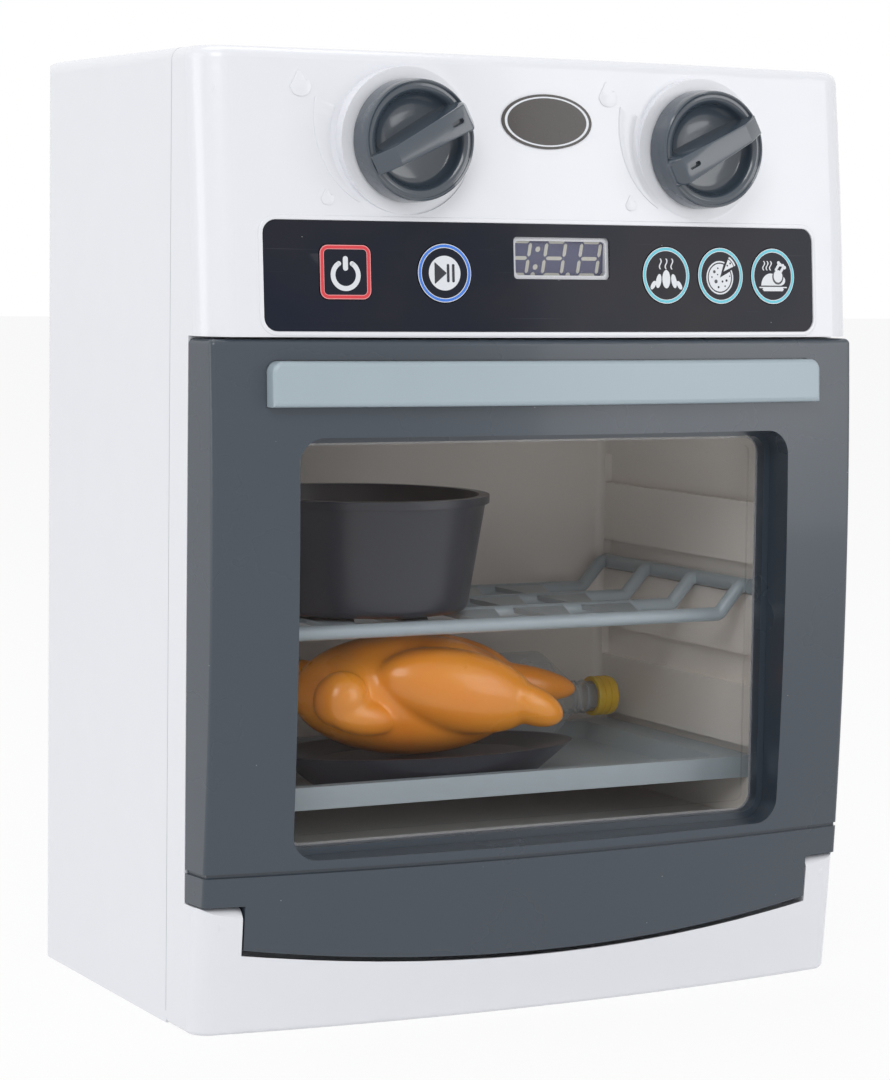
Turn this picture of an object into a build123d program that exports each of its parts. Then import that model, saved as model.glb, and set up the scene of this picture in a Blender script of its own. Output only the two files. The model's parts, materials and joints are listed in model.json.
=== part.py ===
from build123d import *
from math import cos, radians, sin, sqrt
import os

# Toy oven. Origin at the middle of the footprint on the floor: X to the right, front towards -Y, Z up.

# Casing
body_width = 233.0
body_height = 300.0
back_y = 72.0
parting_y = -38.0
collar_y = -52.0
wall = 2.2
crown_y = -76.5
crown_z = 140.0
plan_radius = 767.0
side_radius = 1225.0
fascia_corner_r = 11.0
base_corner_r = 7.0
back_corner_r = 9.0
top_edge_r = 4.0
bottom_edge_r = 1.5
lip_depth = 3.0
lip_thickness = 1.2
fit_gap = 0.15
least_r = 0.5

# Working lengths: how far cuts run past a face, and helper bodies past the oven
past = 1.0
overrun = 30.0
skin_rear_y = -45.0
near = 0.01
touch_gap = 0.05

# Door bay and hinge
bay_top = 213.3
shoulder_z = 40.5
hinge_y = -60.0
hinge_drop = 6.0
ear_gap = 0.4
tongue_half = 102.2
tongue_side_gap = 0.6
tongue_mid_z = 19.0
tongue_end_z = 26.6
tongue_gap = 1.4
tongue_depth = 3.2
scoop_mid_r = 19.4
scoop_end_r = 10.4
pocket_roof = 4.0
pin_r = 1.5
pin_running_gap = 0.05
pin_inner_x = 92.0
pin_outer_x = 108.0
hinge_boss_r = 4.2

# Door
door_top = 212.6
door_back_gap = 0.4
door_wall = 2.4
door_draft = 0.103
door_edge_r = 1.8
door_post_x = 102.0
door_post_z = (62.0, 122.0, 203.0)
door_screw_depth = 6.0
door_screw_head_h = 0.9
tongue_solid_x = 91.0
pin_fit = 0.02
pin_chamfer = 0.3
window_width = 175.6
window_height = 129.4
window_z = 118.3
window_corner_r = 8.0
window_step_y = -60.5
step_inset = 2.3
groove_z = 49.5
groove_height = 1.3
groove_depth = 0.9
liner_plate = 1.8
pane_thickness = 1.4
pane_flange = 4.6
pane_panel_inset = 3.2
pane_panel_rise = 1.2
pane_recess = 1.4
pane_clip_r = 2.6
pane_clip_length = 3.0
pane_clip_rise = 40.0
small_head_r = 2.2
small_head_h = 1.1
small_shank_r = 1.0
small_screw_length = 5.0
screw_edge_share = 0.4
cross_length_share = 1.1
cross_width_share = 0.28
cross_depth_share = 0.5

# Handle
handle_half = 98.0
handle_low_z = 192.4
handle_height = 13.8
handle_stand = 5.0
handle_foot = 1.0
handle_top_r = 3.4
handle_bottom_r = 1.6
handle_edge_r = 1.5
handle_screw_x = 70.0
handle_gap = 0.25
handle_screw_bite = 4.0

# Catch at the top of the door
catch_z = 206.0
striker_half = 6.0
striker_height = 3.4
striker_reach = 5.5
striker_chamfer = 0.8
striker_foot_side = 2.0
striker_foot_rise = 1.5
striker_foot_sheet = 1.2
catch_play = 0.7
catch_leaf = 0.8
catch_depth = 7.5
catch_foot = 3.0

# Knobs
knob_x = 52.2
knob_z = 272.8
knob_pad_r = 22.4
knob_pad_y = -69.6
knob_gap = 0.5
knob_base_r = 18.85
knob_rim_r = 18.1
knob_height = 8.4
knob_lip = 2.0
knob_dish_r = 15.2
knob_dish_depth = 5.6
knob_dish_arc_r = 7.28
grip_width = 8.8
grip_half = 17.9
grip_rise = 4.8
grip_angle = 28.0
grip_mark_r = 11.3
grip_mark_length = 4.2
grip_mark_width = 1.6
grip_mark_depth = 0.7
grip_edge_r = 1.3
knob_edge_r = 0.8
shaft_screw_length = 9.0
shaft_flat = 0.7
knob_screw_head_r = 3.6
shaft_r = 3.0
shaft_running_gap = 0.05
bush_r = 6.0
bush_end_y = -60.0
click_wheel_r = 8.0
click_wheel_y = -59.7
click_wheel_h = 4.0
click_teeth = 12
tooth_depth = 1.0
tooth_r = 1.4
tooth_ring = 0.6
click_spring_gap = 0.3
click_leaf = 0.5
spring_post_x = 8.5
spring_post_side = 4.0

# Control panel and keys
panel_width = 197.0
panel_height = 33.2
panel_z = 231.7
panel_corner_r = 4.2
panel_inset = 0.15
panel_thickness = 1.0
panel_seat_gap = 0.05
panel_edge_gap = 0.2
key_z = 232.9
key_r = 9.0
power_side = 16.4
power_corner_r = 2.6
power_x = -72.7
play_x = -40.2
program_x = 39.2
program_pitch = 21.3
key_hole_gap = 0.25
key_flange = 1.2
key_flange_gap = 0.3
key_flange_h = 1.4
key_stem_r = 2.5
key_travel = 0.6
display_width = 34.2
display_height = 12.6
display_x = 0.9
display_z = 237.8
display_hole_margin = 1.0
display_corner_r = 1.2
badge_width = 32.0
badge_height = 17.0
badge_x = -3.3
badge_z = 280.0
badge_thickness = 0.35
badge_lift = 0.02

# Control board
board_y = -58.0
board_half = 99.0
board_low_z = 217.0
board_high_z = 249.0
board_thickness = 1.6
board_post_x = 95.5
board_post_inset = 3.2
board_post_r = 2.6
switch_side = 6.0
switch_height = 5.5
plunger_r = 1.7
plunger_h = 1.8
display_module_y = -69.6
module_margin = 1.4

# Oven liner
cavity_half = 93.0
cavity_floor = 50.0
cavity_ceiling = 190.0
cavity_back = 56.0
liner_wall = 1.6
groove_recess = 2.7
mouth_corner_r = 4.0
skin_left = 0.8
cavity_corner_r = 3.0
guide_back = 54.0
liner_head_r = 3.2
guide_first_z = 64.0
guide_pitch = 31.0
guide_height = 10.5
guide_count = 4
liner_side_flange = 5.0
liner_end_flange = 7.0
liner_boss_x = 80.0
liner_boss_r = 2.4
liner_seat_gap = 0.1

# Rack and tray
rack_bar_r = 2.3
rack_rail_r = 2.5
rack_front_y = -41.0
rack_pitch = 30.4
rack_bars = 4
rack_drop = 9.0
rack_foot_x = 81.5
rack_shoulder_x = 89.5
rack_side_gap = 0.5
rack_rest_gap = 0.3
rack_bend_r = 2.6
rack_plate_rear = 20.0
rack_plate_front = 6.5
rack_plate_pitch = 26.3
rack_plate_thickness = 1.6
rack_plate_count = 5
rack_plate_x = -60.2
tray_front_y = -43.5
tray_back_y = 52.0
tray_height = 7.2
tray_sheet = 1.4
tray_rim = 12.5
tray_front_rim = 4.0
tray_slope = 4.0
tray_corner_r = 2.0

# Play food and dishes
pot_x = -33.0
pot_y = -2.0
pot_top_r = 42.0
pot_base_r = 35.0
pot_height = 38.0
pot_wall = 2.0
pot_rim = 2.6
rest_gap = 0.3
platter_x = -16.0
platter_y = -16.0
platter_half = 54.0
platter_depth_half = 27.0
platter_height = 11.5
platter_dish = 3.0
platter_sheet = 1.6
platter_foot_share = 0.72
chicken_x = -20.0
chicken_length = 92.0
chicken_width = 50.0
chicken_height = 40.0
thigh_at = (-12.0, 14.5, 2.5)
thigh_half = (31.0, 10.5, 14.5)
wing_at = (-53.0, 15.0, 3.0)
wing_half = (12.5, 8.0, 9.5)
leg_r = 5.4
leg_root_r = 9.5
leg_roots = (2.0, 18.0)
leg_tips = (26.0, 48.0)
leg_y = (19.0, 13.0)
leg_fall = (6.5, 3.0)
leg_end_r = 3.2
lump_stations = (-0.98, -0.8, -0.4, 0.1, 0.55, 0.85, 0.98)
bottle_y = 29.5
bottle_r = 17.0
bottle_low_x = 8.0
bottle_body = 44.0
bottle_shoulder = 14.0
bottle_neck_r = 5.4
bottle_neck = 15.0
bottle_cap_r = 7.0
bottle_cap_length = 8.5
cap_top = 1.4
bottle_edge_r = 2.0

# Casing screws, battery case and speaker
post_x = 107.5
post_z = (14.0, 150.0, 286.0)
post_r = 4.2
post_meet_y = -16.0
screw_r = 1.5
screw_head_r = 2.8
screw_head_h = 2.0
screw_length = 22.0
post_floor = 6.0
hole_gap = 0.1
root = 0.6
battery_r = 7.1
battery_length = 50.0
battery_count = 3
battery_pitch = 15.0
battery_end_room = 5.0
battery_case_x = 45.0
battery_case_z = 234.0
battery_case_wall = 1.6
battery_door_thickness = 2.0
battery_door_gap = 0.25
battery_door_chamfer = 0.4
battery_ledge = 2.5
battery_button_r = 2.7
battery_button_h = 1.5
battery_edge_r = 0.5
case_corner_r = 1.0
contact_width = 11.0
contact_depth = 10.0
contact_sheet = 0.5
spring_r = 3.6
spring_wire_r = 0.4
spring_turns = 4
door_tab = 9.0
door_boss_r = 4.0
door_screw_length = 8.0
door_head_seat = 1.5
door_head_h = 1.3
tab_half = 4.0
tab_reach = 2.5
tab_height = 0.9
tab_x = 14.0
grip_lines = 5
grip_lines_pitch = 2.6
grip_lines_half = 10.0
grip_lines_depth = 0.5
grip_lines_z = 4.0
speaker_x = -50.0
speaker_z = 240.0
speaker_r = 20.0
speaker_depth = 9.0
speaker_magnet_r = 11.0
speaker_flange = 1.6
speaker_cone_r = 6.0
speaker_cone_sink = 1.5
speaker_surround = 3.5
speaker_surround_sink = 0.6
speaker_rim = 2.5
speaker_basket_share = 0.55
speaker_slot_margin = 3.0
speaker_screw_spare = 0.2
speaker_post_x = 23.0
speaker_head_r = 4.0
slot_width = 2.2
slot_pitch = 5.0
slot_count = 7
cradle_x = 60.0
cradle_front_y = 20.0
cradle_back_y = 50.0

half_width = body_width / 2
front_limit = crown_y - overrun
hinge_z = shoulder_z - hinge_drop
ear_r = hinge_drop - ear_gap
door_back_y = collar_y - door_back_gap
axis_y = crown_y + plan_radius
bay_half = tongue_half + tongue_side_gap
pane_back_y = door_back_y - pane_recess
pane_front_y = pane_back_y - pane_thickness
door_liner_front_y = window_step_y + fit_gap
knob_base_y = knob_pad_y - knob_gap
knob_rim_y = knob_base_y - knob_height
grip_front_y = knob_rim_y - grip_rise
knob_dish_floor = knob_height - knob_dish_depth
liner_front_y = collar_y + wall + liner_seat_gap
guide_half = cavity_half + groove_recess
liner_half = guide_half + liner_wall
rack_rail_x = guide_half - rack_side_gap - rack_rail_r
rack_rail_z = guide_first_z + 2 * guide_pitch + rack_rest_gap + rack_rail_r
rack_bar_z = rack_rail_z - rack_drop
tray_low_z = guide_first_z + rack_rest_gap
tray_half = guide_half - rack_side_gap
tray_top_z = tray_low_z + tray_height
tray_floor_z = tray_low_z + rack_rest_gap + tray_sheet
key_places = {"power_key": power_x, "play_key": play_x}
key_places.update({
    name: program_x + i * program_pitch for i, name in enumerate(("pastry_key", "pizza_key", "roast_key"))
})
knobs_at = [(-knob_x, knob_z), (knob_x, knob_z)]
spring_low_z = click_wheel_r + click_spring_gap + spring_post_side + click_leaf
spring_post_y = click_wheel_y + click_wheel_h
board_post_z = (board_low_z + board_post_inset, board_high_z - board_post_inset)
board_screws_at = [(x, z) for x in (-board_post_x, board_post_x) for z in board_post_z]
posts_at = [(x, z) for x in (-post_x, post_x) for z in post_z]
screw_reach = screw_length - post_floor
guide_floors = [guide_first_z + i * guide_pitch for i in range(guide_count)]
liner_boss_y = liner_front_y + liner_wall + liner_seat_gap
liner_boss_out = liner_wall + liner_end_flange / 2
liner_boss_z = (cavity_floor - liner_boss_out, cavity_ceiling + liner_boss_out)
liner_screws_at = [(x, z) for x in (-liner_boss_x, liner_boss_x) for z in liner_boss_z]
tabs_x = (battery_case_x - tab_x, battery_case_x + tab_x)
door_low_z = battery_case_z - battery_length / 2 - battery_end_room - battery_ledge
pane_clip_x = window_width / 2 - step_inset + pane_flange + small_shank_r + hole_gap + fit_gap
pane_clips_at = [(side * pane_clip_x, window_z + up * pane_clip_rise) for side in (-1, 1) for up in (-1, 1)]
finished = []


def keep(part, label):
    """Label a finished piece and put it on the list to be written."""
    part.label = label
    finished.append(part)


def front_plane(y):
    """Upright drawing plane at y: drawn X is X, drawn Y is Z, and its normal points forward."""
    return Plane(origin=(0, y, 0), x_dir=(1, 0, 0), z_dir=(0, -1, 0))


def front_y(x, z, inset=0.0):
    """Y of the double-curved front surface at x and z, moved back by inset."""
    ring = plan_radius - side_radius + sqrt((side_radius - inset) ** 2 - (z - crown_z) ** 2)
    return axis_y - sqrt(ring**2 - x**2)


def post_root_y(z):
    """Y of the inner face that a casing post grows from at height z: collar, fascia or base."""
    in_bay = ear_top < z < bay_top
    return collar_y + wall if in_bay else front_y(post_x, z, wall)


def front_space(inset=0.0):
    """Everything behind the front surface: a wide arc in plan, turned from an arc in side view."""
    low, high = -overrun, body_height + overrun
    core = axis_y + plan_radius - body_width

    def rim(z):
        return axis_y + plan_radius - side_radius + sqrt((side_radius - inset) ** 2 - (z - crown_z) ** 2)

    with BuildPart() as space:
        with BuildSketch(Plane.YZ):
            with BuildLine():
                ThreePointArc((rim(low), low), (rim(crown_z), crown_z), (rim(high), high))
                Polyline((rim(high), high), (core, high), (core, low), (rim(low), low))
            make_face()
        revolve(axis=Axis((0, axis_y, 0), (0, 0, 1)))
    return space.part


def skin(outline, outer, inner):
    """The outline, a sketch on the XY plane read as X and Z, cut from the skin between two insets."""
    with BuildPart() as piece:
        with BuildSketch(front_plane(skin_rear_y)):
            add(outline)
        extrude(amount=skin_rear_y - front_limit)
        add(outer, mode=Mode.INTERSECT)
        cut(inner)
    return piece.part


def cut(shape):
    """Take a shape away from the part or sketch being built."""
    add(shape, mode=Mode.SUBTRACT)


def cylinder_y(x, z, radius, y_from, y_to):
    """Round bar along Y between two values of y."""
    with BuildPart() as bar:
        with BuildSketch(front_plane(max(y_from, y_to))):
            with Locations((x, z)):
                Circle(radius)
        extrude(amount=abs(y_to - y_from))
    return bar.part


def block(x_range, y_range, z_range):
    """Plain block between three pairs of limits."""
    lows, highs = zip(x_range, y_range, z_range)
    size = [high - low for low, high in zip(lows, highs)]
    with BuildPart() as piece:
        with Locations(tuple((low + high) / 2 for low, high in zip(lows, highs))):
            Box(*size)
    return piece.part


def screws(places, seat_y, head_r, head_h, shank_r, length, into):
    """Cross-head screws along Y, as one group: seat_y is under the heads, and into is -1 or 1."""
    group = []
    for x, z in places:
        top = seat_y - into * head_h
        with BuildPart() as screw:
            add(cylinder_y(x, z, head_r, seat_y, top))
            rims = screw.edges().filter_by(GeomType.CIRCLE).sort_by(Axis.Y)
            fillet(rims[0 if into > 0 else -1], head_h * screw_edge_share)
            add(cylinder_y(x, z, shank_r, seat_y, seat_y + into * length))
            for turn in (0, 90):
                with BuildSketch(front_plane(top)):
                    with Locations((x, z)):
                        Rectangle(head_r * cross_length_share, head_r * cross_width_share, rotation=turn)
                extrude(amount=-into * head_h * cross_depth_share, mode=Mode.SUBTRACT)
        group.append(screw.part)
    return Compound(children=group)


space_outer = front_space()
space_wall = front_space(wall)


# ---------------------------------------------------------------- front bezel

def front_block(z_range, inset, corner_r, top_r, bottom_r, rear_y, space):
    """Block behind the front surface with its upright front corners and its rims rounded."""
    side = half_width - inset
    low, high = z_range
    with BuildPart() as piece:
        add(block((-side, side), (front_limit, rear_y), z_range))
        add(space, mode=Mode.INTERSECT)
        uprights = piece.edges().filter_by(lambda e: e.bounding_box().size.Z > high - low - overrun / 2)
        fillet(uprights.filter_by(lambda e: e.center().Y < rear_y - past), max(corner_r - inset, least_r))
        for end, radius in ((-1, top_r), (0, bottom_r)):
            if radius > 0:
                rim = piece.faces().sort_by(Axis.Z)[end].edges()
                fillet(rim.filter_by(lambda e: e.center().Y < rear_y - past), radius)
    return piece.part


def tongue_outline(grow=0.0, top=60.0):
    """Outline of the door's tongue in X and Z, with a bowed bottom edge."""
    side, end_z = tongue_half + grow, tongue_end_z - grow
    with BuildSketch() as outline:
        with BuildLine():
            ThreePointArc((-side, end_z), (0, tongue_mid_z - grow), (side, end_z))
            Polyline((side, end_z), (side, top), (-side, top), (-side, end_z))
        make_face()
    return outline.sketch


def scoop(grow=0.0):
    """Pocket turned about the hinge axis, in which the tongue swings."""
    side = bay_half + grow
    end_z = hinge_z - scoop_end_r - grow
    with BuildPart() as pocket:
        with BuildSketch(Plane.XZ.offset(-hinge_y)):
            with BuildLine():
                Polyline((-side, end_z), (-side, hinge_z), (side, hinge_z), (side, end_z))
                ThreePointArc((side, end_z), (0, hinge_z - scoop_mid_r - grow), (-side, end_z))
            make_face()
        revolve(axis=Axis((0, hinge_y, hinge_z), (1, 0, 0)))
        roof = hinge_z + pocket_roof + grow
        cut(block((-side - past, side + past), (front_limit, hinge_y + overrun), (roof, bay_top)))
    return pocket.part


def ear_corner():
    """What is cut from the front of the ears so that the door's shoulders roll over them."""
    with BuildPart() as cut:
        add(block((-half_width - past, half_width + past), (front_limit, hinge_y),
                  (hinge_z, ear_top + past)))
        with BuildSketch(Plane.YZ.offset(-half_width - overrun)):
            with Locations((hinge_y, hinge_z)):
                Circle(ear_r)
        extrude(amount=body_width + 2 * overrun, mode=Mode.SUBTRACT)
    return cut.part


def panel_outline(grow=0.0):
    with BuildSketch() as outline:
        with Locations((0, panel_z)):
            RectangleRounded(panel_width + 2 * grow, panel_height + 2 * grow, panel_corner_r + grow)
    return outline.sketch


def key_outline(name, grow=0.0):
    with BuildSketch() as outline:
        with Locations((key_places[name], key_z)):
            if name == "power_key":
                RectangleRounded(power_side + 2 * grow, power_side + 2 * grow, power_corner_r + grow)
            else:
                Circle(key_r + grow)
    return outline.sketch


def display_outline(grow=0.0):
    with BuildSketch() as outline:
        with Locations((display_x, display_z)):
            RectangleRounded(display_width + 2 * grow, display_height + 2 * grow, display_corner_r)
    return outline.sketch


def mouth_outline():
    """Mouth of the cavity in X and Z, with the four guides running out through it."""
    with BuildSketch() as outline:
        with Locations((0, (cavity_floor + cavity_ceiling) / 2)):
            RectangleRounded(2 * cavity_half, cavity_ceiling - cavity_floor, mouth_corner_r)
        for z in guide_floors:
            with Locations((0, z + guide_height / 2)):
                Rectangle(2 * guide_half, guide_height)
    return outline.sketch


def screen(outline, y_from, y_to):
    """Prism between two values of y of an outline read as X and Z."""
    with BuildPart() as prism:
        with BuildSketch(front_plane(max(y_from, y_to))):
            add(outline)
        extrude(amount=abs(y_to - y_from))
    return prism.part


def bars(places, radius, y_from, y_to):
    """Round bars along Y at several places at once."""
    with BuildPart() as group:
        with BuildSketch(front_plane(max(y_from, y_to))):
            with Locations(*places):
                Circle(radius)
        extrude(amount=abs(y_to - y_from))
    return group.part


def drill(places, radius, y_from, y_to):
    """Round holes along Y at several places at once."""
    cut(bars(places, radius, y_from, y_to))


fascia_floor = bay_top + wall
ear_top = hinge_z + ear_r
panel_seat = front_space(panel_inset + panel_thickness + panel_seat_gap)
key_band_y = front_y(0, key_z, -1)
hollow_side = half_width - wall

with BuildPart() as bezel:
    add(front_block((bay_top, body_height), 0, fascia_corner_r, top_edge_r, 0, parting_y, space_outer))
    add(front_block((0, ear_top), 0, base_corner_r, 0, bottom_edge_r, parting_y, space_outer))
    add(block((-half_width, half_width), (collar_y, parting_y), (ear_top - past, bay_top + past)))
    # hollows of the fascia, of the base and of the middle
    cut(front_block((fascia_floor, body_height - wall), wall, fascia_corner_r, top_edge_r - wall, 0,
                    parting_y + past, space_wall))
    cut(front_block((wall, ear_top - wall), wall, base_corner_r, 0, 0, parting_y + past, space_wall))
    cut(block((-hollow_side, hollow_side), (collar_y + wall, parting_y + past),
              (wall, body_height - 2 * wall)))
    # shell of the pocket and bosses of the hinge pins, inside the base
    add(scoop(wall) & front_block((0, ear_top + wall), 0, base_corner_r, 0, 0, parting_y, space_outer))
    for side in (-1, 1):
        with BuildSketch(Plane.YZ.offset(side * bay_half)):
            with Locations((hinge_y, hinge_z)):
                Circle(hinge_boss_r)
        extrude(amount=side * (pin_outer_x - bay_half + wall))
    # door bay, pocket, ears and pin holes
    cut(block((-half_width - past, half_width + past), (front_limit, collar_y), (ear_top, bay_top)))
    cut(block((-bay_half, bay_half), (front_limit, collar_y), (hinge_z, bay_top)))
    cut(scoop())
    with BuildSketch(front_plane(hinge_y)):
        add(tongue_outline(tongue_gap))
        with Locations((0, hinge_z)):
            Rectangle(2 * bay_half, body_height, mode=Mode.INTERSECT)
    extrude(amount=-hinge_y, mode=Mode.SUBTRACT)
    cut(ear_corner())
    for side in (-1, 1):
        with BuildSketch(Plane.YZ.offset(side * (bay_half - past))):
            with Locations((hinge_y, hinge_z)):
                Circle(pin_r + pin_running_gap)
        extrude(amount=side * (pin_outer_x - bay_half + 1 + fit_gap), mode=Mode.SUBTRACT)
    # mouth of the cavity, slot for the catch and bosses of the liner screws
    cut(screen(mouth_outline(), collar_y - past, collar_y + wall + past))
    slot_half = striker_half + catch_play
    slot_rise = striker_height / 2 + catch_play
    cut(block((-slot_half, slot_half), (collar_y - past, collar_y + wall + past),
              (catch_z - slot_rise, catch_z + slot_rise)))
    add(bars(liner_screws_at, liner_boss_r, collar_y + wall, liner_boss_y))
    drill(liner_screws_at, small_shank_r + hole_gap, collar_y + skin_left, liner_boss_y + past)
    # seat of the control panel, key holes and display hole
    cut(skin(panel_outline(panel_edge_gap), space_outer, panel_seat))
    for name in key_places:
        cut(screen(key_outline(name, key_hole_gap), key_band_y, collar_y))
    cut(screen(display_outline(-display_hole_margin), key_band_y, collar_y))
    # flat pads and bushes of the knobs
    add(bars(knobs_at, knob_pad_r, knob_pad_y, bush_end_y))
    drill(knobs_at, knob_pad_r, front_limit, knob_pad_y)
    drill(knobs_at, knob_pad_r - wall, knob_pad_y + wall, bush_end_y)
    add(bars(knobs_at, bush_r, knob_pad_y + wall / 2, bush_end_y))
    drill(knobs_at, shaft_r + shaft_running_gap, knob_pad_y - past, bush_end_y + past)
    for x, z in knobs_at:
        post_x_low = x + spring_post_x
        add(block((post_x_low, post_x_low + spring_post_side), (knob_pad_y + wall / 2, spring_post_y),
                  (z + spring_low_z - spring_post_side, z + spring_low_z)))
    # board posts and casing posts
    for side in (-1, 1):
        for z in board_post_z:
            root_y = front_y(board_post_x, z, wall) - root
            add(bars([(side * board_post_x, z)], board_post_r, root_y, board_y))
        for z in post_z:
            add(bars([(side * post_x, z)], post_r, post_root_y(z) - root, post_meet_y))
    drill(board_screws_at, small_shank_r + hole_gap, board_y - small_screw_length - past, board_y + past)
    drill(posts_at, screw_r + hole_gap, post_meet_y - screw_reach - past, post_meet_y + past)
keep(bezel.part, "front_bezel")


# ---------------------------------------------------------------- rear casing, battery case and speaker

def casing_outline(inset=0.0):
    """Casing seen from the front, in X and Z."""
    with BuildSketch() as outline:
        with Locations((0, body_height / 2)):
            Rectangle(body_width - 2 * inset, body_height - 2 * inset)
        corners = outline.vertices().group_by(Axis.Y)
        fillet(corners[-1], max(top_edge_r - inset, least_r))
        fillet(corners[0], max(bottom_edge_r - inset, least_r))
    return outline.sketch


def rear_block(inset, front):
    """Rear of the casing back from front, with rounded rear edges; the hollow's side edges stay sharp."""
    side, high, rear = half_width - inset, body_height - inset, back_y - inset
    with BuildPart() as piece:
        if inset:
            add(block((-side, side), (front, rear), (inset, high)))
        else:
            add(screen(casing_outline(), front, rear))
        with BuildSketch(Plane.XY) as plan:
            with Locations((0, rear - body_width / 2)):
                Rectangle(2 * side, body_width)
            fillet(plan.vertices().group_by(Axis.Y)[-1], back_corner_r - inset)
        extrude(amount=body_height, mode=Mode.INTERSECT)
        # round the upper rear edge
        corner_r = back_corner_r - inset
        with BuildSketch(Plane.YZ.offset(-half_width - past)):
            with Locations((rear - corner_r, high - corner_r)):
                Rectangle(body_width, body_width, align=(Align.MIN, Align.MIN))
                Circle(corner_r, mode=Mode.SUBTRACT)
        extrude(amount=body_width + 2, mode=Mode.SUBTRACT)
    return piece.part


def case_outline(grow=0.0, top_extra=0.0):
    """Outline of the battery case in X and Z."""
    with BuildSketch() as outline:
        width, height = 2 * (case_half_x + grow), 2 * (case_half_z + grow) + top_extra
        with Locations((battery_case_x, battery_case_z + top_extra / 2)):
            RectangleRounded(width, height, case_corner_r + grow)
    return outline.sketch


def speaker_slots():
    with BuildSketch() as outline:
        for i in range(slot_count):
            offset = (i - (slot_count - 1) / 2) * slot_pitch
            length = 2 * sqrt((speaker_r - speaker_slot_margin) ** 2 - offset**2)
            with Locations((speaker_x + offset, speaker_z)):
                SlotOverall(length, slot_width, rotation=90)
    return outline.sketch


lip_outer = wall + fit_gap
lip_inner = lip_outer + lip_thickness
case_half_x = battery_count * battery_pitch / 2 + fit_gap
case_half_z = battery_length / 2 + battery_end_room
door_back_seat = back_y - battery_door_thickness - liner_seat_gap
case_floor_y = door_back_seat - 2 * battery_r - 4 * fit_gap
battery_y = case_floor_y + battery_r + 2 * fit_gap
door_screw_at = (battery_case_x, battery_case_z + case_half_z + battery_ledge + door_tab / 2)
speaker_seat_y = back_y - wall
speaker_screws_at = [(speaker_x - speaker_post_x, speaker_z), (speaker_x + speaker_post_x, speaker_z)]
speaker_post_y = speaker_seat_y - speaker_flange - liner_seat_gap

with BuildPart() as rear_casing:
    add(rear_block(0, parting_y))
    cut(rear_block(wall, parting_y - past))
    # lip that enters the front bezel, on a thicker root
    with BuildSketch(front_plane(parting_y + lip_depth)):
        add(casing_outline(wall / 2))
        cut(casing_outline(lip_inner))
    extrude(amount=lip_depth - fit_gap)
    with BuildSketch(front_plane(parting_y + lip_depth)):
        add(casing_outline(lip_outer))
        cut(casing_outline(lip_inner))
    extrude(amount=2 * lip_depth)
    # casing posts
    add(bars(posts_at, post_r, post_meet_y + fit_gap, back_y - wall / 2))
    # battery case
    add(screen(case_outline(battery_case_wall), case_floor_y - battery_case_wall, back_y - wall / 2))
    add(screen(case_outline(battery_ledge + battery_case_wall, door_tab), door_back_seat - wall,
               back_y - wall / 2))
    add(bars([door_screw_at], door_boss_r, door_back_seat - door_screw_length - wall, back_y - wall / 2))
    cut(screen(case_outline(battery_ledge + battery_door_gap, door_tab), door_back_seat, back_y + past))
    cut(screen(case_outline(), case_floor_y, back_y))
    drill([door_screw_at], screw_r + hole_gap, door_back_seat - door_screw_length - past, back_y)
    for x in tabs_x:
        slot_half = tab_half + fit_gap
        cut(block((x - slot_half, x + slot_half), (door_back_seat, door_back_seat + tab_height + fit_gap),
                  (door_low_z - tab_reach - fit_gap, door_low_z + past)))
    # speaker grille, its locating ring and posts
    cut(screen(speaker_slots(), speaker_seat_y - past, back_y + past))
    with BuildSketch(front_plane(speaker_seat_y + wall / 2)):
        with Locations((speaker_x, speaker_z)):
            Circle(speaker_r + fit_gap + lip_thickness)
            Circle(speaker_r + fit_gap, mode=Mode.SUBTRACT)
    extrude(amount=wall / 2 + speaker_flange / 2)
    with BuildSketch(front_plane(speaker_seat_y + wall / 2)):
        with Locations(*speaker_screws_at):
            Circle(board_post_r)
        with Locations((speaker_x, speaker_z)):
            Circle(speaker_r + fit_gap, mode=Mode.SUBTRACT)
    extrude(amount=speaker_seat_y + wall / 2 - speaker_post_y)
    drill(speaker_screws_at, small_shank_r + hole_gap, speaker_post_y - past, back_y - skin_left)
    # cradle under the liner
    for x in (-cradle_x, cradle_x):
        add(block((x - wall / 2, x + wall / 2), (cradle_front_y, cradle_back_y),
                  (wall / 2, cavity_floor - liner_wall - liner_seat_gap)))
    # holes and head seats of the casing screws
    drill(posts_at, screw_r + hole_gap, post_meet_y, back_y)
    drill(posts_at, screw_head_r + fit_gap, post_meet_y + post_floor, back_y + past)
keep(rear_casing.part, "rear_casing")

keep(screws(posts_at, post_meet_y + post_floor, screw_head_r, screw_head_h, screw_r, screw_length, -1),
     "casing_screws")

with BuildPart() as battery_door:
    add(screen(case_outline(battery_ledge, door_tab), door_back_seat + liner_seat_gap, back_y))
    outer_rim = battery_door.faces().sort_by(Axis.Y)[-1].edges()
    chamfer(outer_rim, battery_door_chamfer)
    for x in tabs_x:
        add(block((x - tab_half, x + tab_half),
                  (door_back_seat + liner_seat_gap, door_back_seat + tab_height),
                  (door_low_z - tab_reach, door_low_z + past)))
    drill([door_screw_at], screw_r + 2 * hole_gap, door_back_seat, back_y + past)
    drill([door_screw_at], screw_head_r + fit_gap, back_y - door_head_seat, back_y + past)
    for i in range(grip_lines):
        z = battery_case_z - case_half_z + grip_lines_z + i * grip_lines_pitch
        cut(block((battery_case_x - grip_lines_half, battery_case_x + grip_lines_half),
                  (back_y - grip_lines_depth, back_y + past), (z, z + grip_lines_pitch / 2)))
keep(battery_door.part, "battery_door")
keep(screws([door_screw_at], back_y - door_head_seat, screw_head_r, door_head_h, screw_r,
            door_screw_length, -1), "battery_door_screw")

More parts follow.
